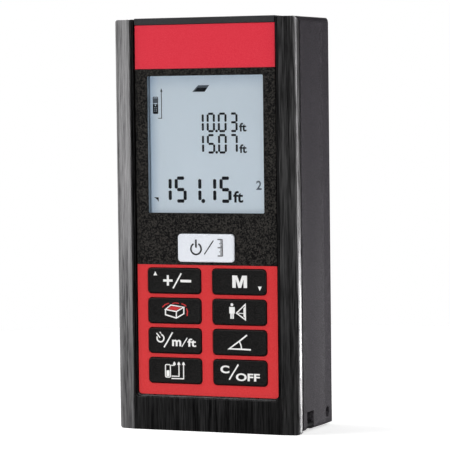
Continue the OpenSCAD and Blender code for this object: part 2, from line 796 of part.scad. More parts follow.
// Blank rating label in its shallow recess
module rating_label() color("#b9bbbe")
    block([-11, body_d - label_t, label_z0], [11, body_d, label_z0 + 16]);

front_frame();
face_plate();
header_inlay();
keypad_inlay();
display_window();
display_gasket();
lcd_cell();
lcd_light_guide();
lcd_holder();
lcd_connectors();
keypad_mat();
snap_domes();
measure_key();
plus_minus_key();
memory_key();
area_volume_key();
pythagoras_key();
timer_units_key();
angle_key();
reference_key();
clear_off_key();
main_board();
board_chips();
buzzer();
tilt_sensor();
board_screws();
optics_block();
receiver_lens();
laser_barrel();
laser_diode();
collimator_lens();
detector_board();
detector_ribbon();
optics_screws();
end_cap();
rear_housing();
housing_seal();
battery_door();
battery_left();
battery_right();
battery_springs();
battery_contacts();
end_piece();
end_piece_magnet();
end_piece_pin();
lanyard_bar();
tripod_insert();
case_screws();
rating_label();
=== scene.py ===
"""Looks of a pocket laser distance meter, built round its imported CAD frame.

Sizes are in millimetres unless a name says otherwise. A depth is counted from the front of the
metal frame towards the back, and an outline is drawn in X (right) and Z (up).
"""

import json
import logging
import math
from collections.abc import Callable, Iterable, Sequence
from dataclasses import dataclass
from enum import Enum

import bmesh
import bpy
from mathutils import Matrix, Vector
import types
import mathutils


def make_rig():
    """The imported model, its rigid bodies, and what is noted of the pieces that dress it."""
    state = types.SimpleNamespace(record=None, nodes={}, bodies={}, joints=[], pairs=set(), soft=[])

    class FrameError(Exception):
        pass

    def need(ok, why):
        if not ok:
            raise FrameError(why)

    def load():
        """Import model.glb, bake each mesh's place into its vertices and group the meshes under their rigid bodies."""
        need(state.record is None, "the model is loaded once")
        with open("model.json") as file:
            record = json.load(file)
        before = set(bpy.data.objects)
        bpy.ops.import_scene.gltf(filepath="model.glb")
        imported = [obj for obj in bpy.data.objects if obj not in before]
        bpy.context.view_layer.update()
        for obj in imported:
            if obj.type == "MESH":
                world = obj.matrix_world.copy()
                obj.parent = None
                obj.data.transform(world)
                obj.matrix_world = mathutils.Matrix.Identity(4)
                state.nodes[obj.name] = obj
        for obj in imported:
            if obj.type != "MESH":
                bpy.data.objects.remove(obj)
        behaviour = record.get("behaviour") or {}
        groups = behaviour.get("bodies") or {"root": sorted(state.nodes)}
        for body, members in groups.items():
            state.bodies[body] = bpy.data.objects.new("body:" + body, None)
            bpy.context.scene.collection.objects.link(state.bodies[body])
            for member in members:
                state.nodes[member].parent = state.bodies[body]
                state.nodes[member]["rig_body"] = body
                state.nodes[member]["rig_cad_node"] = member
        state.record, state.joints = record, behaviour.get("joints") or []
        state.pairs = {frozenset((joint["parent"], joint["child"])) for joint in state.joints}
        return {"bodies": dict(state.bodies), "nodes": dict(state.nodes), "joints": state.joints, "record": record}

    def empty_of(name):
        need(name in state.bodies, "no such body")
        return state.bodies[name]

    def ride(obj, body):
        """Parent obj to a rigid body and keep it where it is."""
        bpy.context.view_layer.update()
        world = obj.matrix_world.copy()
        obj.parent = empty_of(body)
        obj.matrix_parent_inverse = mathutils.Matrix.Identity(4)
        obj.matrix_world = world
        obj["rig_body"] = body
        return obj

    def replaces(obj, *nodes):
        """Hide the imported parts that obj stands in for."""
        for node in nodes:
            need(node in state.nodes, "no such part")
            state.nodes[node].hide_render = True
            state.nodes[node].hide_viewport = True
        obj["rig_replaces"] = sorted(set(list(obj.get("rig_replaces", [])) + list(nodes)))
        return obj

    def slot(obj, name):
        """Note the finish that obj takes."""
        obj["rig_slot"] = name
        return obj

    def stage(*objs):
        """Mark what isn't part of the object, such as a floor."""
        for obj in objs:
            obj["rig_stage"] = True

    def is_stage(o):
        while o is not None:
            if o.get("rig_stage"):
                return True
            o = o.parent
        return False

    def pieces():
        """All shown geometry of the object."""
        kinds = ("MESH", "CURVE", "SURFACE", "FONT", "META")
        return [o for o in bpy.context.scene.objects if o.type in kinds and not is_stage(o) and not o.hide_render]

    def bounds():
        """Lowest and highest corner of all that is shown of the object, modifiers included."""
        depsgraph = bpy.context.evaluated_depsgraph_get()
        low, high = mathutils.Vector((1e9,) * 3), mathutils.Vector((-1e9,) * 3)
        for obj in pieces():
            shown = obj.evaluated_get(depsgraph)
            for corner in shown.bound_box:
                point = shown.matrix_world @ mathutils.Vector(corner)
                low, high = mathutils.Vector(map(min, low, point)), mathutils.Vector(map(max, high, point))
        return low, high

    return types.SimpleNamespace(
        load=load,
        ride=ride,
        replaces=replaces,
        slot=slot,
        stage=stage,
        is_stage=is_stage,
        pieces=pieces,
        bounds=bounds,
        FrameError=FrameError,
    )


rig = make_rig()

MM = 0.001
FRONT_Y = -0.014
ROOT = "meter"
SIZE_FILE = "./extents.json"
NEAR = 0.02  # a distance too small to see: finds an edge by its place, and keeps clear of one
WHITE = (1.0, 1.0, 1.0, 1.0)
log = logging.getLogger("meter")

Point = tuple[float, float]
Colour = tuple[float, float, float]


def place(x: float, depth: float, z: float) -> Vector:
    """Point in metres at X, depth and Z given in millimetres."""
    return Vector((x * MM, FRONT_Y + depth * MM, z * MM))


def depth_of(co: Vector) -> float:
    """Depth in millimetres of a point in metres."""
    return (co.y - FRONT_Y) / MM


# ---------------------------------------------------------------- shader maths


class Sock:
    """A shader output on which Python arithmetic adds Math nodes."""

    def __init__(self, tree: "Nodes", socket: bpy.types.NodeSocket) -> None:
        """Wraps a socket of a tree.

        Args:
            tree: The builder that owns the socket.
            socket: The output socket.
        """
        self.tree = tree
        self.socket = socket

    def _math(self, operation: str, first: object, second: object) -> "Sock":
        """Adds one Math node.

        Args:
            operation: The node's operation.
            first: Its first value or socket.
            second: Its second value or socket.

        Returns:
            The node's output.
        """
        made = self.tree.node("ShaderNodeMath", {"operation": operation}, {0: first, 1: second})
        return self.tree.out(made)

    def __add__(self, other: object) -> "Sock":
        """Sum."""
        return self._math("ADD", self, other)

    def __radd__(self, other: object) -> "Sock":
        """Sum with the socket on the right."""
        return self._math("ADD", other, self)

    def __sub__(self, other: object) -> "Sock":
        """Difference."""
        return self._math("SUBTRACT", self, other)

    def __rsub__(self, other: object) -> "Sock":
        """Difference with the socket on the right."""
        return self._math("SUBTRACT", other, self)

    def __mul__(self, other: object) -> "Sock":
        """Product."""
        return self._math("MULTIPLY", self, other)

    def __rmul__(self, other: object) -> "Sock":
        """Product with the socket on the right."""
        return self._math("MULTIPLY", other, self)

    def __truediv__(self, other: object) -> "Sock":
        """Quotient."""
        return self._math("DIVIDE", self, other)

    def __pow__(self, other: object) -> "Sock":
        """Power."""
        return self._math("POWER", self, other)

    def above(self, limit: object) -> "Sock":
        """1 where the value is greater than the limit, else 0."""
        return self._math("GREATER_THAN", self, limit)

    def clamped(self) -> "Sock":
        """The value kept between 0 and 1."""
        return self._math("MINIMUM", self._math("MAXIMUM", self, 0.0), 1.0)


class Nodes:
    """Builds the node tree of one material."""

    def __init__(self, name: str) -> None:
        """Starts an empty material.

        Args:
            name: The material's name.
        """
        self.material = bpy.data.materials.new(name)
        self.material.use_nodes = True
        self.tree = self.material.node_tree
        self.tree.nodes.clear()

    def node(self, kind: str, settings: dict | None = None, inputs: dict | None = None) -> bpy.types.Node:
        """Adds any node.

        Args:
            kind: The node's type.
            settings: Properties set first.
            inputs: Values or sockets by input name or number.

        Returns:
            The new node.
        """
        made = self.tree.nodes.new(kind)
        for key, value in (settings or {}).items():
            setattr(made, key, value)
        for key, value in (inputs or {}).items():
            if isinstance(value, Sock):
                self.tree.links.new(value.socket, made.inputs[key])
            else:
                made.inputs[key].default_value = value
        return made

    def out(self, made: bpy.types.Node, name: str | int = 0) -> Sock:
        """Output of a node, wrapped for arithmetic."""
        return Sock(self, made.outputs[name])

    def place(self, scale: Sequence[float]) -> Sock:
        """Object coordinates times a number of cycles per metre along X, Y and Z."""
        made = self.node("ShaderNodeTexCoord")
        mapped = self.node("ShaderNodeMapping", {}, {"Vector": self.out(made, "Object"), "Scale": scale})
        return self.out(mapped)

    def axes(self) -> tuple[Sock, Sock, Sock]:
        """Object X, Y and Z in millimetres."""
        made = self.node("ShaderNodeTexCoord")
        split = self.node("ShaderNodeSeparateXYZ", {}, {0: self.out(made, "Object")})
        return tuple(self.out(split, name) * (1 / MM) for name in "XYZ")

    def noise(self, scale: Sequence[float], detail: float = 3.0, rough: float = 0.5) -> Sock:
        """Noise between 0 and 1 on object coordinates.

        Args:
            scale: Cycles per metre along X, Y and Z.
            detail: Octaves.
            rough: How strong the finer octaves are.

        Returns:
            The noise value.
        """
        made = self.node("ShaderNodeTexNoise", {}, {
            "Vector": self.place(scale), "Scale": 1.0, "Detail": detail, "Roughness": rough})
        return self.out(made)

    def blend(self, factor: Sock | float, first: object, second: object) -> Sock:
        """Mixes two colours.

        Args:
            factor: 0 gives the first and 1 the second.
            first: A colour or socket.
            second: A colour or socket.

        Returns:
            The mixed colour.
        """
        colours = [(*c, 1.0) if isinstance(c, tuple) else c for c in (first, second)]
        made = self.node("ShaderNodeMix", {"data_type": "RGBA"}, {
            0: factor, 6: colours[0], 7: colours[1]})
        return self.out(made, 2)

    def bump(self, height: Sock, depth_mm: float) -> Sock:
        """Normal from a height between 0 and 1.

        Args:
            height: The height value.
            depth_mm: Real height of the relief.

        Returns:
            The bumped normal.
        """
        made = self.node("ShaderNodeBump", {}, {
            "Strength": 1.0, "Distance": depth_mm * MM, "Height": height})
        return self.out(made)

    def surface(self, **inputs: object) -> bpy.types.Material:
        """Ends the tree in one Principled shader.

        Args:
            **inputs: Its inputs, with an underscore for each space.

        Returns:
            The finished material.
        """
        values = {key.replace("_", " "): value for key, value in inputs.items()}
        if isinstance(values.get("Base Color"), tuple):
            values["Base Color"] = (*values["Base Color"], 1.0)
        shader = self.node("ShaderNodeBsdfPrincipled", {}, values)
        return self.close(self.out(shader))

    def close(self, shader: Sock) -> bpy.types.Material:
        """Links a shader to the material's output and returns the material."""
        self.node("ShaderNodeOutputMaterial", {}, {"Surface": shader})
        return self.material


# ---------------------------------------------------------------- finishes


@dataclass(frozen=True)
class Moulded:
    """Plastic, film or rubber with a fine grain, speckles and faint shine changes."""

    name: str
    colour: Colour
    speck: Colour
    roughness: float = 0.5
    grain_mm: float = 0.3
    contrast: float = 1.0
    relief_mm: float = 0.01
    specular: float = 0.5
    coat: float = 0.0
    patch_share: float = 0.02
    patch_change: float = 0.18
    grain_change: float = 0.12

    def material(self) -> bpy.types.Material:
        """Builds the material."""
        n = Nodes(self.name)
        cycles = 1 / (self.grain_mm * MM)
        fine = n.noise((cycles,) * 3, 2.0, 0.6)
        broad = n.noise((cycles * self.patch_share,) * 3, 2.0)
        specks = ((fine - 0.5) * (3.0 * self.contrast) + 0.35).clamped()
        shine = (broad - 0.5) * self.patch_change + (fine - 0.5) * self.grain_change
        return n.surface(
            Base_Color=n.blend(specks, self.colour, self.speck),
            Roughness=shine + self.roughness,
            Normal=n.bump(fine, self.relief_mm),
            Specular_IOR_Level=self.specular,
            Coat_Weight=self.coat,
            Coat_Roughness=0.12,
        )


@dataclass(frozen=True)
class Brushed:
    """Metal with long fine streaks from its lower to its upper end."""

    name: str
    colour: Colour
    streak: Colour
    roughness: float
    width_mm: float
    length_mm: float
    relief_mm: float
    line_contrast: float = 2.6
    band_contrast: float = 1.2
    band_share: float = 0.16
    shine_change: float = 0.16

    def material(self) -> bpy.types.Material:
        """Builds the material."""
        n = Nodes(self.name)
        across, along = 1 / (self.width_mm * MM), 1 / (self.length_mm * MM)
        scale = (across, across, along)
        lines = n.noise(scale, 4.0, 0.65)
        bands = n.noise(tuple(value * self.band_share for value in scale), 2.0)
        mask = ((lines - 0.5) * self.line_contrast + (bands - 0.5) * self.band_contrast + 0.5).clamped()
        return n.surface(
            Base_Color=n.blend(mask, self.colour, self.streak),
            Roughness=(mask - 0.5) * self.shine_change + self.roughness,
            Normal=n.bump(lines, self.relief_mm),
            Metallic=1.0,
        )


@dataclass(frozen=True)
class Plated:
    """Turned or stamped metal with fine scratches and dull patches."""

    name: str
    colour: Colour
    roughness: float = 0.28
    scratch_mm: float = 0.25
    dull_share: float = 0.72
    relief_mm: float = 0.003

    def material(self) -> bpy.types.Material:
        """Builds the material."""
        n = Nodes(self.name)
        cycles = 1 / (self.scratch_mm * MM)
        patches = n.noise((cycles * 0.25,) * 3, 4.0)
        scratches = n.noise((cycles * 3, cycles * 0.3, cycles), 3.0, 0.7)
        dull = tuple(channel * self.dull_share for channel in self.colour)
        return n.surface(
            Base_Color=n.blend((patches - 0.35).clamped(), self.colour, dull),
            Roughness=(patches - 0.5) * 0.3 + self.roughness,
            Normal=n.bump(scratches, self.relief_mm),
            Metallic=1.0,
        )


@dataclass(frozen=True)
class Clear:
    """Clear glass or acrylic, seen through, with its reflections by angle."""

    name: str
    tint: Colour
    index: float = 1.49
    haze: float = 0.02

    def material(self) -> bpy.types.Material:
        """Builds the material."""
        n = Nodes(self.name)
        smear = n.noise((160.0, 160.0, 90.0), 3.0)
        through = n.node("ShaderNodeBsdfTransparent", {}, {"Color": (*self.tint, 1.0)})
        gloss = n.node("ShaderNodeBsdfGlossy", {}, {
            "Color": WHITE, "Roughness": smear * 0.05 + 0.02})
        angle = n.node("ShaderNodeFresnel", {}, {"IOR": self.index})
        mixed = n.node("ShaderNodeMixShader", {}, {
            0: n.out(angle) * 0.8 + smear * self.haze, 1: n.out(through), 2: n.out(gloss)})
        return n.close(n.out(mixed))


@dataclass(frozen=True)
class Laminate:
    """Circuit board with solder mask over fine tracks."""

    name: str
    mask: Colour = (0.01, 0.10, 0.05)
    track: Colour = (0.03, 0.22, 0.11)

    def material(self) -> bpy.types.Material:
        """Builds the material."""
        n = Nodes(self.name)
        cell = n.node("ShaderNodeTexVoronoi", {"distance": "MANHATTAN", "feature": "F1"}, {
            "Vector": n.place((420.0, 420.0, 420.0)), "Scale": 1.0, "Randomness": 0.7})
        rings = n.node("ShaderNodeMath", {"operation": "PINGPONG"}, {0: n.out(cell), 1: 0.12})
        tracks = (n.out(rings) * 12.0 - 0.4).clamped()
        weave = n.noise((2500.0,) * 3, 2.0)
        return n.surface(
            Base_Color=n.blend(tracks, self.mask, self.track),
            Roughness=weave * 0.2 + 0.22,
            Normal=n.bump(tracks + weave * 0.3, 0.03),
        )


@dataclass(frozen=True)
class CellJacket:
    """Battery cell: dark jacket with a copper band at its button end, and bare steel ends."""

    name: str
    z0: float
    z1: float
    button_up: bool
    button: float = 0.9
    bare: float = 0.3
    band: float = 13.0
    dark: Colour = (0.016, 0.016, 0.018)
    copper: Colour = (0.50, 0.22, 0.06)
    worn: Colour = (0.08, 0.06, 0.04)
    steel: Colour = (0.62, 0.62, 0.60)

    def material(self) -> bpy.types.Material:
        """Builds the material."""
        n = Nodes(self.name)
        _, _, z = n.axes()
        low, high = self.z0 + self.bare, self.z1 - self.bare
        if self.button_up:
            high = self.z1 - self.button - self.bare
        else:
            low = self.z0 + self.button + self.bare
        jacket = z.above(low) * (1 - z.above(high))
        band = z.above(high - self.band) if self.button_up else 1 - z.above(low + self.band)
        wrap = n.noise((900.0, 900.0, 60.0), 3.0)
        body = n.blend(band, self.dark, self.copper)
        shade = n.blend((wrap - 0.4).clamped(), body, self.worn)
        return n.surface(
            Base_Color=n.blend(jacket, self.steel, shade),
            Metallic=1 - jacket * 0.55,
            Roughness=wrap * 0.2 + 0.22,
            Normal=n.bump(wrap, 0.004),
        )


@dataclass(frozen=True)
class DisplayFilm:
    """Reflective display: pale grey, with a painted shadow of the window's rim as a cooler, darker tint along its left
    and upper border.
    """

    name: str
    lit: Colour = (0.52, 0.585, 0.635)
    # painted shadow colour of the window's rim on the display's left and upper border
    edge: Colour = (0.31, 0.40, 0.50)
    glow: float = 0.62
    # left and upper limit of the display, and width of the painted shadow band along them
    left: float = -17.9
    top: float = 101.5
    band: float = 2.4
    haze: Colour = (0.66, 0.70, 0.74)

    def material(self) -> bpy.types.Material:
        """Builds the material."""
        n = Nodes(self.name)
        x, _, z = n.axes()
        # painted shadow of the window's rim: strongest at the left and upper border, fading inwards; it also goes into
        # the glow
        side = (1 - (x - self.left) / self.band * 0.8).clamped()
        upper = (1 - (self.top - z) / (self.band * 1.7)).clamped() * 0.45
        both = (side ** 1.3) * 0.8 + upper
        clouds = n.noise((90.0,) * 3, 2.0)
        grain = n.noise((5000.0,) * 3, 2.0)
        film_with_painted_shadow = n.blend(both.clamped(), self.lit, self.edge)
        film = n.blend((clouds - 0.5) * 0.2 + (grain - 0.5) * 0.1 + 0.05, film_with_painted_shadow, self.haze)
        return n.surface(
            Base_Color=film,
            Emission_Color=film,
            Emission_Strength=self.glow,
            Roughness=grain * 0.1 + 0.45,
            Normal=n.bump(grain, 0.002),
            Specular_IOR_Level=0.3,
        )


# ---------------------------------------------------------------- outlines and meshes


@dataclass(frozen=True)
class RoundRect:
    """Rectangle with round corners, given by its centre."""

    x: float
    z: float
    width: float
    height: float
    radius: float
    steps: int = 7

    def grown(self, by: float) -> "RoundRect":
        """The outline moved outwards by a distance, or inwards if it is negative."""
        least = 0.02
        return RoundRect(self.x, self.z, max(self.width + 2 * by, least), max(self.height + 2 * by, least),
                         max(self.radius + by, least / 2), self.steps)

    def points(self) -> list[Point]:
        """Corner points, counter-clockwise as seen from the front."""
        made = []
        for quarter, (sx, sz) in enumerate(((1, 1), (-1, 1), (-1, -1), (1, -1))):
            cx = self.x + sx * (self.width / 2 - self.radius)
            cz = self.z + sz * (self.height / 2 - self.radius)
            for step in range(self.steps + 1):
                angle = math.pi / 2 * (quarter + step / self.steps)
                made.append((cx + self.radius * math.cos(angle), cz + self.radius * math.sin(angle)))
        return made


def rounding(radius: float, steps: int = 5) -> list[Point]:
    """Quarter-round edge as (inset, depth) pairs from the front inwards to the side.

    Args:
        radius: Radius of the edge.
        steps: Number of facets.

    Returns:
        Pairs that go from (radius, 0) to (0, radius).
    """
    made = []
    for step in range(steps + 1):
        angle = math.pi / 2 * step / steps
        made.append((radius * (1 - math.sin(angle)), radius * (1 - math.cos(angle))))
    return made


class Form:
    """A mesh under construction, in metres in the meter's frame."""

    def __init__(self) -> None:
        """Starts empty."""
        self.bm = bmesh.new()

    def loop(self, points: Iterable[Vector]) -> list[bmesh.types.BMVert]:
        """Adds the vertices of one loop and returns them."""
        return [self.bm.verts.new(p) for p in points]

    def skin(self, loops: Sequence[Sequence[bmesh.types.BMVert]], caps: bool = True) -> None:
        """Joins closed loops of equal length by rings of quads.

        Args:
            loops: The loops in order.
            caps: Whether the first and the last loop get a face.
        """
        for first, second in zip(loops, loops[1:]):
            count = len(first)
            for i in range(count):
                j = (i + 1) % count
                self.bm.faces.new((first[i], first[j], second[j], second[i]))
        if caps:
            self.bm.faces.new(list(reversed(loops[0])))
            self.bm.faces.new(loops[-1])

    def stack(self, rings: Sequence[tuple[RoundRect, Callable[[float, float], float] | float]]) -> None:
        """Lofts outlines that lie one behind the other.

        Args:
            rings: Outline and depth, or depth as a function of X and Z, from the front to the back.
        """
        loops = []
        for outline, depth in rings:
            level = depth if callable(depth) else (lambda x, z, d=depth: d)
            loops.append(self.loop(place(x, level(x, z), z) for x, z in outline.points()))
        self.skin(loops)

    def prism(self, points: Sequence[Point], front: Callable[[float, float], float] | float,
              back: float) -> None:
        """Extrudes a small outline along the depth.

        Args:
            points: Outline in X and Z.
            front: Depth of its front, or a function of X and Z.
            back: Distance from the front to the back.
        """
        level = front if callable(front) else (lambda x, z: front)
        near = self.loop(place(x, level(x, z), z) for x, z in points)
        far = self.loop(place(x, level(x, z) + back, z) for x, z in points)
        self.skin([near, far])

    def cad(self, node: str, flat_deg: float = 0.6) -> "Form":
        """Adds a merged copy of a CAD node's mesh.

        Args:
            node: The CAD node.
            flat_deg: Faces that differ by less than this angle are joined.

        Returns:
            This form.
        """
        self.bm.from_mesh(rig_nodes()[node].data)
        bmesh.ops.remove_doubles(self.bm, verts=self.bm.verts, dist=1e-6)
        bmesh.ops.dissolve_limit(self.bm, angle_limit=math.radians(flat_deg),
                                 verts=self.bm.verts, edges=self.bm.edges)
        return self

    def bevel(self, width: float, test: Callable[[Vector, list[Vector]], bool], steps: int = 2,
              sharp_deg: float = 35.0) -> "Form":
        """Rounds the sharp edges that pass a test.

        Args:
            width: Width of the rounding in millimetres.
            test: Says from an edge's middle and its two face normals whether to round it.
            steps: Facets across the rounding.
            sharp_deg: Least angle between the two faces.

        Returns:
            This form.
        """
        chosen = []
        for edge in self.bm.edges:
            if len(edge.link_faces) != 2 or edge.calc_face_angle(0.0) < math.radians(sharp_deg):
                continue
            middle = (edge.verts[0].co + edge.verts[1].co) / 2
            if test(middle, [f.normal for f in edge.link_faces]):
                chosen.append(edge)
        bmesh.ops.bevel(self.bm, geom=chosen, offset=width * MM, offset_type="OFFSET", segments=steps,
                        profile=0.5, affect="EDGES", clamp_overlap=True)
        return self

    def slices(self, axis: int, places: Iterable[float]) -> "Form":
        """Cuts new edges through the whole mesh, without parting it.

        Args:
            axis: 0 for X, 1 for depth, 2 for Z.
            places: Where to cut, in millimetres.

        Returns:
            This form.
        """
        normal = Vector([float(axis == k) for k in range(3)])
        for value in places:
            at = place(*[value if axis == k else 0.0 for k in range(3)])
            bmesh.ops.bisect_plane(self.bm, geom=self.bm.verts[:] + self.bm.edges[:] + self.bm.faces[:],
                                   plane_co=at, plane_no=normal, dist=1e-6)
        return self

    def shape(self, move: Callable[[float, float, float], tuple[float, float, float]]) -> "Form":
        """Moves every vertex.

        Args:
            move: Gives the new X, depth and Z from the old ones, in millimetres.

        Returns:
            This form.
        """
        for vert in self.bm.verts:
            vert.co = place(*move(vert.co.x / MM, depth_of(vert.co), vert.co.z / MM))
        return self

    def piece(self, name: str, materials: bpy.types.Material | Sequence[bpy.types.Material],
              smooth_deg: float = 38.0) -> bpy.types.Object:
        """Ends the mesh, with its faces outwards, and makes its object.

        Args:
            name: Name of the object.
            materials: Its material or materials.
            smooth_deg: Edges sharper than this stay sharp.

        Returns:
            The object, at the origin.
        """
        bmesh.ops.recalc_face_normals(self.bm, faces=self.bm.faces)
        mesh = bpy.data.meshes.new(name)
        self.bm.to_mesh(mesh)
        self.bm.free()
        return dress(mesh, name, materials, smooth_deg)


def dress(mesh: bpy.types.Mesh, name: str, materials: bpy.types.Material | Sequence[bpy.types.Material],
          smooth_deg: float = 38.0) -> bpy.types.Object:
    """Makes an object from a mesh, shaded smooth but for its sharp edges.

    Args:
        mesh: The finished mesh.
        name: Name of the object.
        materials: Its material or materials.
        smooth_deg: Edges sharper than this stay sharp.

    Returns:
        The object, at the origin.
    """
    if isinstance(materials, bpy.types.Material):
        materials = [materials]
    mesh.materials.clear()
    for material in materials:
        mesh.materials.append(material)
    mesh.shade_smooth()
    mesh.set_sharp_from_angle(angle=math.radians(smooth_deg))
    made = bpy.data.objects.new(name, mesh)
    bpy.context.scene.collection.objects.link(made)
    weighted = made.modifiers.new("even_shading", "WEIGHTED_NORMAL")
    weighted.keep_sharp = True
    return made


def mount(piece: bpy.types.Object, body: str, slot: str | None = None,
          instead_of: Sequence[str] = ()) -> bpy.types.Object:
    """Hangs a piece on a CAD body and reports it.

    Args:
        piece: The piece.
        body: The CAD body it moves with.
        slot: The record's material slot.
        instead_of: CAD nodes that it stands for.

    Returns:
        The piece.
    """
    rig.ride(piece, body)
    if instead_of:
        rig.replaces(piece, *instead_of)
    if slot:
        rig.slot(piece, slot)
    log.info("%-26s on %-18s %6d faces", piece.name, body, len(piece.data.polygons))
    return piece


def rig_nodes() -> dict[str, bpy.types.Object]:
    """The CAD nodes by name."""
    return {o["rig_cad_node"]: o for o in bpy.data.objects if "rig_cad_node" in o}


# ---------------------------------------------------------------- geometry nodes


class Pattern:
    """Builds a Geometry Nodes tree and turns what it makes into a plain mesh."""

    def __init__(self, name: str) -> None:
        """Starts a tree with a geometry input, a finish and an output.

        Args:
            name: Name of the tree.
        """
        self.tree = bpy.data.node_groups.new(name, "GeometryNodeTree")
        self.values: dict[str, object] = {}
        self.add_socket("Places", "NodeSocketGeometry")
        self.tree.interface.new_socket("Made", in_out="OUTPUT", socket_type="NodeSocketGeometry")
        self.inside = self.tree.nodes.new("NodeGroupInput")

    def add_socket(self, name: str, kind: str) -> str:
        """Adds an input to the tree and returns its identifier."""
        return self.tree.interface.new_socket(name, in_out="INPUT", socket_type=kind).identifier

    def size(self, name: str, value: float) -> bpy.types.NodeSocket:
        """Adds a named size.

        Args:
            name: Name of the input.
            value: Its value.

        Returns:
            The socket that carries it inside the tree.
        """
        self.values[self.add_socket(name, "NodeSocketFloat")] = value
        return self.inside.outputs[name]

    def node(self, kind: str, settings: dict | None = None, inputs: dict | None = None) -> bpy.types.Node:
        """Adds any node.

        Args:
            kind: The node's type.
            settings: Properties set first.
            inputs: Values or sockets by input name or number; a list links several to one input.

        Returns:
            The new node.
        """
        made = self.tree.nodes.new(kind)
        for key, value in (settings or {}).items():
            setattr(made, key, value)
        for key, value in (inputs or {}).items():
            for one in value if isinstance(value, list) else [value]:
                if isinstance(one, bpy.types.NodeSocket):
                    self.tree.links.new(one, made.inputs[key])
                else:
                    made.inputs[key].default_value = one
        return made

    def bake(self, name: str, shape: bpy.types.NodeSocket, finish: bpy.types.Material,
             places: Sequence[Vector] = ()) -> bpy.types.Object:
        """Ends the tree, evaluates it and keeps its mesh.

        Args:
            name: Name of the object.
            shape: The geometry that the tree has made.
            finish: The material of every face.
            places: Points that the tree reads as its geometry input.

        Returns:
            A plain mesh object at the origin.
        """
        real = self.node("GeometryNodeRealizeInstances", {}, {0: shape})
        painted = self.node("GeometryNodeSetMaterial", {}, {
            "Geometry": real.outputs[0], "Material": finish})
        end = self.tree.nodes.new("NodeGroupOutput")
        self.tree.links.new(painted.outputs[0], end.inputs[0])
        seed = bpy.data.meshes.new(name + "_places")
        seed.from_pydata([tuple(p) for p in places], [], [])
        host = bpy.data.objects.new(name + "_host", seed)
        bpy.context.scene.collection.objects.link(host)
        modifier = host.modifiers.new("pattern", "NODES")
        modifier.node_group = self.tree
        for key, value in self.values.items():
            modifier[key] = value
        graph = bpy.context.evaluated_depsgraph_get()
        mesh = bpy.data.meshes.new_from_object(host.evaluated_get(graph))
        host.modifiers.remove(modifier)
        bpy.data.objects.remove(host)
        return dress(mesh, name, finish)


# ---------------------------------------------------------------- finishes of this meter


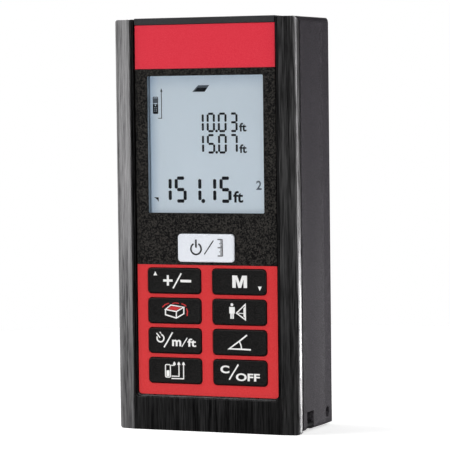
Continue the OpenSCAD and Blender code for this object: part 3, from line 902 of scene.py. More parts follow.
class Finishes:
    """Every finish of the meter, made once."""

    def __init__(self) -> None:
        """Builds the materials."""
        self.rail = Brushed("brushed_black_metal", (0.040, 0.039, 0.041), (0.38, 0.375, 0.38),
                            0.38, width_mm=0.19, length_mm=9.0, relief_mm=0.004).material()
        # The bar takes the rail metal darkened: painted shade on the flat front of the bar.
        self.bar = Brushed("brushed_black_bar_painted_shade", (0.014, 0.014, 0.015), (0.13, 0.128, 0.13),
                           0.38, width_mm=0.19, length_mm=9.0, relief_mm=0.004).material()
        self.bright_edge = Brushed("diamond_cut_edge", (0.50, 0.50, 0.51), (0.66, 0.66, 0.67),
                                   0.24, width_mm=0.05, length_mm=3.0, relief_mm=0.001).material()
        self.panel = Moulded("black_textured_plastic", (0.002, 0.002, 0.0025), (0.040, 0.037, 0.033),
                             0.62, 0.42, 1.5, 0.05, specular=0.12).material()
        self.header = Moulded("red_header_foil", (0.70, 0.020, 0.042), (0.78, 0.052, 0.080),
                              0.45, 0.28, 0.9, 0.006, specular=0.3).material()
        self.keypad = Moulded("red_keypad_foil", (0.61, 0.018, 0.022), (0.69, 0.046, 0.050),
                              0.45, 0.28, 0.9, 0.006, specular=0.3).material()
        self.black_key = Moulded("black_key_plastic", (0.002, 0.002, 0.0025), (0.020, 0.019, 0.018),
                                 0.5, 0.34, 1.2, 0.02, specular=0.2).material()
        self.white_key = Moulded("white_key_plastic", (0.76, 0.79, 0.85), (0.80, 0.83, 0.88),
                                 0.34, 0.8, 0.4, 0.004, coat=0.2).material()
        self.white_print, self.black_print, self.grey_print, self.red_print = (
            Moulded(name, colour, speck, 0.5, 0.2, 0.5, 0.004).material() for name, colour, speck in (
                ("white_print", (0.78, 0.78, 0.77), (0.86, 0.86, 0.85)),
                ("black_print", (0.012, 0.012, 0.013), (0.03, 0.03, 0.03)),
                ("grey_print", (0.09, 0.09, 0.095), (0.14, 0.14, 0.145)),
                ("red_print", (0.50, 0.012, 0.014), (0.60, 0.03, 0.03))))
        self.segment = Moulded("display_segment", (0.012, 0.015, 0.022), (0.02, 0.024, 0.032),
                               0.4, 0.3, 0.5, 0.001, specular=0.3).material()
        self.faint_segment = Moulded("display_half_tone", (0.20, 0.235, 0.28), (0.24, 0.275, 0.32),
                                     0.4, 0.3, 0.5, 0.001, specular=0.3).material()
        self.shell = Moulded("soft_coated_plastic", (0.012, 0.010, 0.013), (0.068, 0.062, 0.071),
                             0.50, 0.34, 1.3, 0.03, specular=0.35).material()
        self.cap = Moulded("dark_cap_plastic", (0.020, 0.020, 0.023), (0.040, 0.040, 0.044),
                           0.45, 0.2, 1.0, 0.010).material()
        self.arm = Moulded("dark_hard_plastic", (0.014, 0.014, 0.015), (0.030, 0.030, 0.032),
                           0.42, 0.25, 1.0, 0.012).material()
        self.foam = Moulded("black_foam", (0.004, 0.004, 0.004), (0.012, 0.012, 0.012),
                            0.85, 0.3, 1.0, 0.03, specular=0.1).material()
        self.white_part = Moulded("white_plastic", (0.74, 0.74, 0.71), (0.80, 0.80, 0.78),
                                  0.4, 0.5, 0.5, 0.006).material()
        self.silicone = Moulded("silicone_grey", (0.080, 0.085, 0.090), (0.11, 0.115, 0.12),
                                0.6, 0.4, 0.6, 0.01).material()
        self.chip = Moulded("chip_plastic", (0.010, 0.010, 0.011), (0.022, 0.022, 0.023),
                            0.5, 0.12, 1.0, 0.012).material()
        self.ribbon = Moulded("ribbon_film", (0.42, 0.17, 0.03), (0.50, 0.23, 0.05),
                              0.28, 0.8, 0.6, 0.003).material()
        self.label = Moulded("label_film", (0.42, 0.43, 0.45), (0.48, 0.49, 0.51),
                             0.36, 0.5, 0.5, 0.003).material()
        self.steel = Plated("screw_steel", (0.52, 0.52, 0.53)).material()
        self.spring = Plated("spring_steel", (0.66, 0.66, 0.67), 0.22).material()
        self.dark_screw = Plated("dark_screw_steel", (0.10, 0.10, 0.105), 0.34).material()
        self.brass = Plated("brass", (0.72, 0.50, 0.20), 0.24).material()
        self.cast = Plated("cast_alloy", (0.42, 0.43, 0.45), 0.45, 0.6).material()
        self.board = Laminate("green_laminate").material()
        self.window = Clear("clear_acrylic", (0.985, 0.99, 0.995)).material()
        self.lens = Clear("lens_glass", (0.50, 0.56, 0.70), 1.6, 0.06).material()
        self.display = DisplayFilm("lcd_grey").material()
        self.frosted = Moulded("frosted_window_side", (0.36, 0.45, 0.54), (0.42, 0.51, 0.60),
                               0.4, 0.5, 0.6, 0.003).material()


@dataclass
class Inside:
    """The CAD pieces that are shown as they are, each with its finish."""

    finishes: Finishes

    def table(self) -> dict[str, bpy.types.Material]:
        """The finish of each carried-over CAD node."""
        f = self.finishes
        return {
            "display_gasket": f.frosted, "lcd_cell": f.display,
            "lcd_light_guide": f.white_part, "lcd_holder": f.white_part,
            "lcd_connectors": f.silicone, "keypad_mat": f.silicone, "snap_domes": f.spring,
            "main_board": f.board, "board_chips": f.chip, "buzzer": f.chip,
            "tilt_sensor": f.spring, "optics_block": f.cast, "laser_barrel": f.brass,
            "laser_diode": f.brass, "collimator_lens": f.lens, "detector_board": f.board,
            "detector_ribbon": f.ribbon, "housing_seal": f.foam, "battery_contacts": f.spring,
            "end_piece_magnet": f.spring, "tripod_insert": f.brass, "rating_label": f.label,
        }

    def build(self) -> None:
        """Gives the CAD nodes their finishes."""
        nodes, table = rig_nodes(), self.table()
        for name, finish in table.items():
            mesh = nodes[name].data
            mesh.materials.clear()
            mesh.materials.append(finish)
        log.info("finishes on %d carried-over CAD pieces", len(table))


# ---------------------------------------------------------------- frame and face


def faces_front(normals: list[Vector]) -> bool:
    """True if one of two face normals points out of the face of the meter."""
    return any(n.y < -0.9 for n in normals)


@dataclass
class FrontFrame:
    """U-shaped metal frame: sloping brushed rails, a bar in a darker copy of the rail metal as painted shade, a bright
    chamfer at the opening.
    """

    finishes: Finishes
    half: float = 28.5
    opening: float = 22.45
    opening_z: float = 9.35
    side_depth: float = 2.2
    outer: float = 28.25
    slope: float = 0.92
    bow: float = 0.23
    round_depth: float = 1.4
    fullness: float = 12.0
    rail_top: float = 117.75
    edge: float = 0.18
    end_band: float = 0.3
    cuts: int = 22
    shallow: float = 0.5
    chamfer_lean: tuple[float, float] = (-0.95, -0.4)

    def crown(self, x: float) -> float:
        """Depth of the rail's front at a distance from the middle.

        Args:
            x: Distance from the middle of the width.

        Returns:
            The depth, 0 next to the opening and deep at the outer side.
        """
        share = min(max((abs(x) - self.opening) / (self.half - self.opening), 0.0), 1.0)
        corner = self.round_depth * (1 - math.sqrt(max(1 - share ** self.fullness, 0.0)))
        return (self.slope + self.bow * share) * share + corner

    def old_front(self, x: float) -> float:
        """Depth of the CAD frame's front at a distance from the middle."""
        over = max(abs(x) - (self.half - self.side_depth), 0.0)
        return self.side_depth - math.sqrt(max(self.side_depth ** 2 - over ** 2, 0.0))

    def crowned(self, x: float, depth: float, z: float) -> tuple[float, float, float]:
        """Moves a point of the flat rail onto the crowned one.

        Args:
            x: Old X.
            depth: Old depth.
            z: Old Z.

        Returns:
            The new X, depth and Z.
        """
        if abs(x) <= self.opening:
            return x, depth, z
        ratio = (self.outer - self.opening) / (self.half - self.opening)
        new_x = math.copysign(self.opening + (abs(x) - self.opening) * ratio, x)
        behind = depth - self.old_front(x)
        if behind > self.side_depth / 2:
            return new_x, depth, z
        return new_x, self.crown(x) + max(behind, 0.0) * 0.3, z

    def build(self) -> None:
        """Builds the frame."""
        f = self.finishes
        form = Form().cad("front_frame")
        low, high = self.end_band, self.rail_top - self.end_band
        form.bevel(self.edge, lambda at, n: not low <= at.z / MM <= high
                   and any(v.y < -0.15 for v in n), 3)
        span = self.half - self.opening
        turns = [i / self.cuts for i in range(1, self.cuts)]
        lines = [self.opening + NEAR + span * math.sin(math.pi / 2 * t) for t in turns]
        form.slices(0, [s * v for v in lines for s in (-1, 1)])
        form.shape(self.crowned)
        piece = form.piece("front_frame_brushed", [f.rail, f.bright_edge, f.bar], 32.0)
        chamfer, bar = 1, 2
        for face in piece.data.polygons:
            at, n = face.center, face.normal
            if depth_of(at) >= self.shallow:
                continue
            inner = abs(at.x) / MM < self.opening + 0.05 and at.z / MM > self.opening_z - 0.1
            if inner and self.chamfer_lean[0] < n.y < self.chamfer_lean[1]:
                face.material_index = chamfer
            # the flat front of the bar takes the darker copy of the metal, painted shade
            elif abs(at.x) / MM < self.opening - 1.0 and n.y < -0.9:
                face.material_index = bar
        mount(piece, ROOT, "brushed_black_metal", ["front_frame"])


@dataclass
class FacePanel:
    """Black face plate with its red header band and red keypad field."""

    finishes: Finishes
    edge: float = 0.22
    front: float = 0.8
    half: float = 21.6
    reach: float = 0.05
    margin: float = 0.5

    def widened(self, x: float, depth: float, z: float) -> tuple[float, float, float]:
        """Moves the long edges of a sheet outwards, close to the frame.

        Args:
            x: Old X.
            depth: Old depth.
            z: Old Z.

        Returns:
            The new X, depth and Z.
        """
        if abs(x) <= self.half - self.margin:
            return x, depth, z
        return x + math.copysign(self.reach, x), depth, z

    def sheet(self, node: str, name: str, finish: bpy.types.Material, slot: str) -> None:
        """Softens the front edges of one CAD sheet.

        Args:
            node: The CAD node.
            name: Name of the new piece.
            finish: Its material.
            slot: Its material slot.
        """
        form = Form().cad(node)
        form.bevel(self.edge, lambda at, n: abs(depth_of(at) - self.front) < NEAR
                   and faces_front(n) and min(abs(v.y) for v in n) < 0.1, 2)
        form.shape(self.widened)
        mount(form.piece(name, finish), ROOT, slot, [node])

    def build(self) -> None:
        """Builds the three sheets."""
        f = self.finishes
        self.sheet("face_plate", "face_plate_textured", f.panel, "black_textured_plastic")
        self.sheet("header_inlay", "header_band", f.header, "red_header_foil")
        self.sheet("keypad_inlay", "keypad_field", f.keypad, "red_keypad_foil")


# ---------------------------------------------------------------- printed marks


class Ink:
    """Thin marks that lie on a surface seen from the front."""

    def __init__(self, level: Callable[[float, float], float] | float, lift: float = 0.02,
                 sunk: float = 0.03) -> None:
        """Starts without marks.

        Args:
            level: Depth of the surface, or a function of X and Z.
            lift: How far the marks stand in front of it.
            sunk: How far they reach behind it.
        """
        self.level = level if callable(level) else (lambda x, z: level)
        self.lift = lift
        self.back = lift + sunk
        self.form = Form()

    def front(self, x: float, z: float) -> float:
        """Depth of the marks' front."""
        return self.level(x, z) - self.lift

    def fill(self, points: Sequence[Point]) -> None:
        """Adds a filled outline."""
        self.form.prism(points, self.front, self.back)

    def disc(self, x: float, z: float, radius: float) -> None:
        """Adds a filled circle."""
        self.fill(RoundRect(x, z, 2 * radius, 2 * radius, radius, 5).points())

    def stroke(self, points: Sequence[Point], width: float, closed: bool = False) -> None:
        """Adds a line of even width.

        Args:
            points: Its corners.
            width: Its width.
            closed: Whether it ends where it starts.
        """
        count = len(points)
        left, right = [], []
        for i, (x, z) in enumerate(points):
            before = points[i - 1] if i or closed else points[i]
            after = points[(i + 1) % count] if i < count - 1 or closed else points[i]
            a = Vector((x - before[0], z - before[1]))
            b = Vector((after[0] - x, after[1] - z))
            a = a.normalized() if a.length > 0 else b.normalized()
            b = b.normalized() if b.length > 0 else a
            mid = (a + b).normalized()
            reach = width / 2 / max(mid.dot(a), 0.4)
            left.append((x - mid.y * reach, z + mid.x * reach))
            right.append((x + mid.y * reach, z - mid.x * reach))
        if not closed:
            self.fill(left + right[::-1])
            return
        loops = [self.form.loop(place(x, self.front(x, z) + off, z) for x, z in side)
                 for side, off in ((left, 0.0), (right, 0.0), (right, self.back), (left, self.back))]
        self.form.skin([*loops, loops[0]], caps=False)

    def arc(self, x: float, z: float, radius: float, start: float, end: float, width: float) -> None:
        """Adds a circular line.

        Args:
            x: Centre.
            z: Centre.
            radius: Radius of its middle line.
            start: First angle in degrees, from +X towards +Z.
            end: Last angle.
            width: Its width.
        """
        steps = max(int(abs(end - start) / 12), 2)
        turns = [math.radians(start + (end - start) * i / steps) for i in range(steps + 1)]
        self.stroke([(x + radius * math.cos(t), z + radius * math.sin(t)) for t in turns], width)

    def text(self, words: str, box: tuple[float, float, float, float], weight: float = 0.04) -> None:
        """Adds lettering that fills a box.

        Args:
            words: The letters.
            box: Left, right, lower and upper limit.
            weight: How much bolder than plain, as a share of the letter size.
        """
        curve = bpy.data.curves.new("letters", "FONT")
        curve.body = words
        curve.size = 1.0
        curve.offset = weight
        curve.resolution_u = 4
        host = bpy.data.objects.new("letters", curve)
        bpy.context.scene.collection.objects.link(host)
        graph = bpy.context.evaluated_depsgraph_get()
        mesh = bpy.data.meshes.new_from_object(host.evaluated_get(graph))
        bpy.data.objects.remove(host)
        flat = bmesh.new()
        flat.from_mesh(mesh)
        bmesh.ops.remove_doubles(flat, verts=flat.verts, dist=1e-5)
        xs = [v.co.x for v in flat.verts]
        zs = [v.co.y for v in flat.verts]
        wide, high = max(xs) - min(xs), max(zs) - min(zs)
        for vert in flat.verts:
            x = box[0] + (vert.co.x - min(xs)) / wide * (box[1] - box[0])
            z = box[2] + (vert.co.y - min(zs)) / high * (box[3] - box[2])
            vert.co = place(x, self.front(x, z), z)
        rim = [e for e in flat.edges if len(e.link_faces) == 1]
        near = flat.verts[:]
        made = bmesh.ops.duplicate(flat, geom=flat.verts[:] + flat.edges[:] + flat.faces[:])
        twin = made["vert_map"]
        for vert in near:
            twin[vert].co.y += self.back * MM
        for edge in rim:
            a, b = edge.verts
            flat.faces.new((a, b, twin[b], twin[a]))
        solid = bpy.data.meshes.new("letters")
        flat.to_mesh(solid)
        flat.free()
        self.form.bm.from_mesh(solid)
        bpy.data.meshes.remove(solid)
        bpy.data.meshes.remove(mesh)
        bpy.data.curves.remove(curve)

    def lay(self, name: str, finish: bpy.types.Material, body: str, shift: float = 0.0) -> None:
        """Ends the marks as one piece on a body.

        Args:
            name: Name of the piece.
            finish: Its material.
            body: The body it rides on.
            shift: How far the marks move along X, in millimetres.
        """
        bmesh.ops.translate(self.form.bm, vec=(shift * MM, 0.0, 0.0), verts=self.form.bm.verts)
        mount(self.form.piece(name, finish), body)


# ---------------------------------------------------------------- keys


@dataclass
class KeyCap:
    """One key: dished top with round edges, hidden flange and peg."""

    body: str
    x: float
    z: float
    finish: bpy.types.Material
    slot: str
    width: float = 16.4
    height: float = 7.1
    radius: float = 1.0
    front: float = 0.35
    dish: float = 0.13
    edge: float = 0.32
    back: float = 2.1
    flange: float = 0.35
    flange_back: float = 2.9
    peg: float = 1.8
    peg_back: float = 3.5
    mark_shift: tuple[float, float] = (0.28, 0.2)
    print_height: float = 0.045

    @property
    def mark_x(self) -> float:
        """X of the middle of the key's marks."""
        return self.x + self.mark_shift[0]

    @property
    def mark_z(self) -> float:
        """Z of the middle of the key's marks."""
        return self.z + self.mark_shift[1]

    def level(self, x: float, z: float) -> float:
        """Depth of the dished top at a point.

        Args:
            x: X of the point.
            z: Z of the point.

        Returns:
            The depth of the surface there.
        """
        inside = min(self.width / 2 - abs(x - self.x), self.height / 2 - abs(z - self.z))
        share = (inside - self.edge) / (self.height / 2 - self.edge)
        return self.front + self.dish * (1 - (1 - min(max(share, 0.0), 1.0)) ** 2)

    def build(self) -> "KeyCap":
        """Builds the cap and returns the key."""
        outline = RoundRect(self.x, self.z, self.width, self.height, self.radius)
        middle = self.height / 2 - self.edge
        rings = [(outline.grown(-self.edge - middle * share),
                  self.front + self.dish * (1 - (1 - share) ** 2))
                 for share in (0.99, 0.8, 0.6, 0.4, 0.25, 0.12, 0.05)]
        rings += [(outline.grown(-inset), self.front + depth) for inset, depth in rounding(self.edge)]
        flange = outline.grown(self.flange)
        peg = RoundRect(self.x, self.z, 2 * self.peg, 2 * self.peg, self.peg)
        rings += [(outline, self.back), (flange, self.back), (flange, self.flange_back),
                  (peg, self.flange_back), (peg, self.peg_back)]
        form = Form()
        form.stack(rings)
        mount(form.piece(self.body + "_cap", self.finish), self.body, self.slot, [self.body])
        return self

    def ink(self) -> Ink:
        """Marks that follow this key's top."""
        return Ink(self.level, lift=self.print_height)

    def spot(self, points: Sequence[Point]) -> list[Point]:
        """Points given from the middle of the key's marks, as X and Z of the meter."""
        return [(self.mark_x + u, self.mark_z + v) for u, v in points]


@dataclass
class Keypad:
    """The measure key and the eight function keys with their symbols."""

    finishes: Finishes
    column: float = 10.05
    top_row: float = 43.0
    pitch: float = 8.6

    def key(self, body: str, side: int, row: int) -> KeyCap:
        """Builds one function key.

        Args:
            body: Its CAD body.
            side: -1 for the left column, 1 for the right.
            row: 0 for the top row.

        Returns:
            The key.
        """
        return KeyCap(body, side * self.column, self.top_row - row * self.pitch,
                      self.finishes.black_key, "black_key_plastic").build()

    def build(self) -> None:
        """Builds all nine keys."""
        self.measure()
        self.plus_minus(self.key("plus_minus_key", -1, 0))
        self.memory(self.key("memory_key", 1, 0))
        self.box_mark(self.key("area_volume_key", -1, 1))
        self.height_mark(self.key("pythagoras_key", 1, 1))
        self.timer(self.key("timer_units_key", -1, 2))
        self.angle(self.key("angle_key", 1, 2))
        self.reference(self.key("reference_key", -1, 3))
        self.clear(self.key("clear_off_key", 1, 3))

    def measure(self) -> None:
        """White key: power sign, stroke and a short ruler."""
        key = KeyCap("measure_key", 0.0, 52.5, self.finishes.white_key, "white_key_plastic",
                     width=17.3, height=8.0, front=0.15, edge=0.45, dish=0.10).build()
        ink = key.ink()
        cx, cz = key.mark_x - 3.21, key.mark_z - 0.44
        ink.arc(cx, cz, 1.60, 118, 422, 0.46)
        ink.stroke([(cx, cz + 0.35), (cx, cz + 1.3), (cx, cz + 2.65)], 0.5)
        ink.stroke(key.spot([(-0.63, -1.95), (0.3, -0.65), (1.3, 0.75), (2.2, 1.95)]), 0.3)
        ink.lay("measure_key_print", self.finishes.black_print, key.body)
        ruler = key.ink()
        ruler.stroke(key.spot([(4.95, -2.46), (4.95, 0.0), (4.95, 2.39)]), 0.28)
        for i in range(13):
            z = -2.38 + i * 0.39
            long = 1.35 if i % 6 == 0 else (0.85 if i % 3 == 0 else 0.55)
            ruler.stroke(key.spot([(4.85 - long, z), (4.81, z)]), 0.2 if i % 6 else 0.3)
        ruler.lay("measure_key_ruler", self.finishes.grey_print, key.body)

    def plus_minus(self, key: KeyCap) -> None:
        """Plus, stroke, minus and a small upward arrow."""
        ink = key.ink()
        ink.fill(key.spot([(-6.68, 1.28), (-5.5, 1.28), (-6.09, 2.48)]))
        ink.fill(key.spot([(-3.65, -0.47), (-2.51, -0.47), (-2.51, -1.6), (-1.85, -1.6), (-1.85, -0.47),
                           (-0.72, -0.47), (-0.72, 0.19), (-1.85, 0.19), (-1.85, 1.4), (-2.51, 1.4),
                           (-2.51, 0.19), (-3.65, 0.19)]))
        ink.stroke(key.spot([(-0.56, -2.35), (0.3, -0.9), (1.2, 0.6), (2.06, 2.0)]), 0.42)
        ink.stroke(key.spot([(1.75, -0.2), (3.4, -0.2), (5.1, -0.22)]), 0.72)
        ink.lay("plus_minus_key_print", self.finishes.white_print, key.body)

    def memory(self, key: KeyCap) -> None:
        """Letter M and a small downward arrow."""
        ink = key.ink()
        for side in (-1, 1):
            ink.fill(key.spot([(side * u, v) for u, v in (
                (0.0, -1.85), (0.42, -1.85), (1.2, 0.55), (1.2, -1.85), (2.25, -1.85), (2.25, 1.65),
                (0.75, 1.65), (0.0, -0.45))]))
        ink.fill(key.spot([(5.55, -1.35), (6.15, -2.6), (6.75, -1.35)]))
        ink.lay("memory_key_print", self.finishes.white_print, key.body)

    def box_mark(self, key: KeyCap) -> None:
        """A box with a red lid and small turning arrows."""
        a, b, c, d = (-3.05, 0.15), (-1.35, 1.45), (2.7, 0.9), (0.35, -0.4)
        e, f, g = (0.35, -2.25), (-3.05, -1.35), (2.7, -0.95)
        ink = key.ink()
        ink.stroke(key.spot([a, b, c, d]), 0.34, closed=True)
        ink.stroke(key.spot([a, f, e, g, c]), 0.36)
        ink.stroke(key.spot([d, (0.35, -1.3), e]), 0.34)
        ink.lay("area_volume_key_print", self.finishes.white_print, key.body)
        red = key.ink()
        red.fill(key.spot([(-2.45, 0.24), (-1.2, 1.17), (1.95, 0.75), (0.2, -0.12)]))
        red.stroke(key.spot([(-4.0, 0.75), (-3.1, 1.55), (-1.9, 1.95)]), 0.3)
        red.stroke(key.spot([(-0.9, 1.9), (0.1, 2.1), (1.2, 1.95)]), 0.26)
        red.stroke(key.spot([(2.0, 1.9), (3.0, 1.55), (3.5, 1.2)]), 0.3)
        red.stroke(key.spot([(3.5, 0.6), (3.85, -0.2), (3.7, -1.6)]), 0.34)
        red.lay("area_volume_key_red_print", self.finishes.red_print, key.body)

    def height_mark(self, key: KeyCap) -> None:
        """A standing figure and a sighting triangle."""
        ink = key.ink()
        ink.disc(key.mark_x - 2.45, key.mark_z + 1.95, 0.42)
        ink.fill(key.spot([(-3.3, 1.3), (-1.6, 1.3), (-1.6, -0.55), (-1.9, -0.55), (-1.9, -2.05),
                           (-2.38, -2.05), (-2.38, -0.6), (-2.52, -0.6), (-2.52, -2.05),
                           (-3.0, -2.05), (-3.0, -0.55), (-3.3, -0.55)]))
        ink.stroke(key.spot([(-1.1, -0.42), (1.65, 2.1), (1.65, -2.25)]), 0.34, closed=True)
        ink.fill(key.spot([(1.05, 0.95), (1.5, 1.5), (1.5, -1.7), (1.05, -1.35)]))
        ink.stroke(key.spot([(-0.5, -0.42), (1.1, -0.5)]), 0.22)
        ink.lay("pythagoras_key_print", self.finishes.white_print, key.body)

    def timer(self, key: KeyCap) -> None:
        """A timer sign, a stroke and the units m/ft."""
        ink = key.ink()
        cx, cz = key.mark_x - 4.75, key.mark_z + 0.45
        ink.arc(cx, cz, 1.08, -205, 72, 0.42)
        ink.stroke([(cx - 1.2, cz + 1.45), (cx - 0.1, cz + 0.1)], 0.36)
        ink.fill([(cx - 0.35, cz + 1.75), (cx + 0.35, cz + 1.0), (cx + 0.1, cz + 1.85)])
        ink.stroke(key.spot([(-3.65, -2.15), (-2.7, -0.7), (-1.8, 0.8), (-0.9, 2.2)]), 0.42)
        ink.text("m", (key.mark_x - 1.1, key.mark_x + 1.75, key.mark_z - 1.75, key.mark_z + 0.1), 0.028)
        ink.stroke(key.spot([(1.95, -1.85), (2.8, -0.5), (3.65, 0.75)]), 0.28)
        ink.text("ft", (key.mark_x + 3.7, key.mark_x + 6.45, key.mark_z - 1.8, key.mark_z + 0.55), 0.022)
        ink.lay("timer_units_key_print", self.finishes.white_print, key.body)

    def angle(self, key: KeyCap) -> None:
        """Two arms and the arc between them."""
        ink = key.ink()
        ink.stroke(key.spot([(2.05, 2.0), (0.0, 0.45), (-3.45, -2.02), (0.0, -2.05), (3.2, -2.12)]), 0.44)
        ink.arc(key.mark_x - 3.5, key.mark_z - 2.05, 3.85, 2, 34, 0.38)
        ink.lay("angle_key_print", self.finishes.white_print, key.body)

    def reference(self, key: KeyCap) -> None:
        """The meter with arrows from its front, its end and its stand."""
        ink = key.ink()
        body = RoundRect(key.mark_x - 2.52, key.mark_z - 0.3, 1.55, 3.6, 0.35, 4)
        ink.stroke(body.points(), 0.3, closed=True)
        ink.fill(RoundRect(key.mark_x - 2.52, key.mark_z - 1.0, 0.95, 1.7, 0.2, 3).points())
        ink.stroke(key.spot([(-1.55, 1.3), (-0.45, 1.35), (-0.45, 1.9)]), 0.26)
        ink.stroke(key.spot([(-1.4, -1.78), (0.95, -1.78), (0.95, 1.8)]), 0.3)
        ink.stroke(key.spot([(-1.4, -2.45), (2.4, -2.45), (2.4, 1.8)]), 0.3)
        for u in (-0.45, 0.95, 2.4):
            ink.fill(key.spot([(u - 0.5, 1.5), (u + 0.5, 1.5), (u + 0.3, 2.1), (u, 2.45), (u - 0.3, 2.1)]))
        ink.lay("reference_key_print", self.finishes.white_print, key.body)

    def clear(self, key: KeyCap) -> None:
        """The words C/OFF."""
        ink = key.ink()
        ink.text("C", (key.mark_x - 6.25, key.mark_x - 3.5, key.mark_z - 0.45, key.mark_z + 1.8), 0.035)
        ink.stroke(key.spot([(-3.55, -2.2), (-2.6, -0.7), (-1.6, 0.8), (-0.7, 2.15)]), 0.42)
        ink.text("OFF", (key.mark_x - 1.5, key.mark_x + 5.85, key.mark_z - 2.5, key.mark_z - 0.3), 0.028)
        ink.lay("clear_off_key_print", self.finishes.white_print, key.body)


# ---------------------------------------------------------------- display


class Bar(Enum):
    """The seven bars of a digit, by where they lie."""

    TOP = "t"
    UPPER_LEFT = "l"
    UPPER_RIGHT = "r"
    MIDDLE = "m"
    LOWER_LEFT = "L"
    LOWER_RIGHT = "R"
    BOTTOM = "b"


DIGITS = {
    "0": "tlrLRb", "1": "rR", "3": "trmRb", "5": "tlmRb", "7": "trR",
}


@dataclass
class Display:
    """The marks of the display: three readings, their units and the small signs."""

    finishes: Finishes
    front: float = 3.0
    middle: float = 81.95
    width: float = 35.8
    height: float = 39.1
    lap: float = 1.5
    window_front: float = 0.95
    window_seat: float = 2.0
    window_back: float = 2.8
    shift: float = 0.45
    bar_gap: float = 0.48
    dot_share: float = 0.62
    mark_lift: float = 0.05
    pale_lift: float = 0.03
    gloss_lift: float = 0.055

    def window(self) -> None:
        """Builds the clear window: a raised field with frosted sides, and a flange behind the plate."""
        f = self.finishes
        edge = 0.12
        raised = RoundRect(0.0, self.middle, self.width, self.height, 0.4).grown(-NEAR)
        flange = RoundRect(0.0, self.middle, self.width + 2 * self.lap, self.height + 2 * self.lap, 0.3)
        flange = flange.grown(-NEAR)
        form = Form()
        form.stack([(raised.grown(-edge), self.window_front), (raised, self.window_front + edge),
                    (raised, self.window_seat), (flange, self.window_seat),
                    (flange, self.window_back), (raised.grown(-0.05), self.window_back)])
        piece = form.piece("display_window_stepped", [f.window, f.frosted])
        for face in piece.data.polygons:
            if abs(face.normal.y) < 0.5 and depth_of(face.center) > self.window_front + 0.1:
                face.material_index = 1
        mount(piece, ROOT, "clear_acrylic", ["display_window"])

    def digit(self, ink: Ink, figure: str, left: float, right: float, low: float, high: float,
              width: float) -> None:
        """Adds one seven-bar digit.

        Args:
            ink: Where to add it.
            figure: The digit.
            left: X of its left bars.
            right: X of its right bars.
            low: Z of its bottom bar.
            high: Z of its top bar.
            width: Width of a bar.
        """
        mid = (low + high) / 2
        gap = width * self.bar_gap
        flat = {Bar.TOP: high, Bar.MIDDLE: mid, Bar.BOTTOM: low}
        tall = {Bar.UPPER_LEFT: (left, mid, high), Bar.UPPER_RIGHT: (right, mid, high),
                Bar.LOWER_LEFT: (left, low, mid), Bar.LOWER_RIGHT: (right, low, mid)}
        half = width / 2
        for letter in DIGITS[figure]:
            bar = Bar(letter)
            if bar in flat:
                z, a, b = flat[bar], left + gap, right - gap
                ink.fill([(a - half * 0.5, z), (a, z - half), (b, z - half), (b + half * 0.5, z),
                          (b, z + half), (a, z + half)])
            else:
                x, a, b = tall[bar][0], tall[bar][1] + gap, tall[bar][2] - gap
                ink.fill([(x, a - half * 0.5), (x + half, a), (x + half, b), (x, b + half * 0.5),
                          (x - half, b), (x - half, a)])

    def row(self, ink: Ink, figures: Sequence[tuple[str, float, float]], low: float, high: float,
            width: float, dot: float) -> None:
        """Adds one reading.

        Args:
            ink: Where to add it.
            figures: Digit, X of its left bars and X of its right bars.
            low: Z of the bottom bars.
            high: Z of the top bars.
            width: Width of a bar.
            dot: X of the decimal point.
        """
        for figure, left, right in figures:
            self.digit(ink, figure, left, right, low, high, width)
        ink.disc(dot, low + 0.04, width * self.dot_share)

    def build(self) -> None:
        """Builds the marks on the display."""
        f = self.finishes
        self.window()
        ink = Ink(self.front, self.mark_lift, 0.0)
        columns = ((-3.8, -1.98), (-0.46, 1.46), (2.99, 5.05), (6.61, 8.43))
        for figures, low, high, dot in (("1003", 85.66, 90.60, 2.25), ("1507", 79.60, 84.52, 2.22)):
            self.row(ink, [(figure, *sides) for figure, sides in zip(figures, columns)],
                     low, high, 0.62, dot)
        self.row(ink, [("1", -15.2, -12.43), ("5", -10.52, -7.77), ("1", -5.9, -3.16),
                       ("1", -1.3, 1.46), ("5", 3.46, 6.16)], 65.74, 72.29, 0.95, -2.13)
        ink.text("ft", (9.25, 11.45, 85.50, 87.95), 0.025)
        ink.text("ft", (9.25, 11.45, 79.42, 81.85), 0.025)
        ink.text("ft", (7.2, 10.2, 65.35, 68.65), 0.025)
        ink.fill([(-17.49, 66.79), (-16.6, 66.15), (-16.1, 65.5), (-16.1, 66.75)])
        ink.fill([(-4.5, 96.98), (-3.5, 98.0), (-0.45, 98.0), (-1.35, 96.98)])
        ink.stroke([(-14.82, 97.2), (-14.82, 93.0), (-14.82, 89.45), (-15.9, 89.45)], 0.2)
        ink.fill([(-15.15, 97.05), (-14.49, 97.05), (-14.82, 97.98)])
        device_x, device_z = -16.71, 93.15
        ink.stroke(RoundRect(device_x, device_z, 1.42, 4.7, 0.2, 3).points(), 0.2, closed=True)
        ink.fill(RoundRect(device_x, 92.15, 1.3, 2.7, 0.1, 2).points())
        ink.lay("display_segments", f.segment, ROOT, self.shift)
        pale = Ink(self.front, self.pale_lift, 0.0)
        pale.fill([(-5.15, 96.85), (-3.3, 98.75), (0.15, 98.75), (-1.3, 96.85)])
        pale.text("2", (14.25, 15.85, 69.0, 71.6), 0.02)
        pale.fill(RoundRect(device_x, 94.5, 1.15, 1.45, 0.1, 2).points())
        pale.lay("display_half_tones", f.faint_segment, ROOT, self.shift)
        gloss = Ink(self.front, self.gloss_lift, 0.0)
        gloss.disc(device_x, device_z, 0.2)
        for i in range(3):
            for k in range(2):
                gloss.fill(RoundRect(-16.95 + 0.48 * k, 92.5 - 0.5 * i, 0.2, 0.2, 0.05, 2).points())
        gloss.lay("display_device_marks", f.display, ROOT, self.shift)


# ---------------------------------------------------------------- shell and back


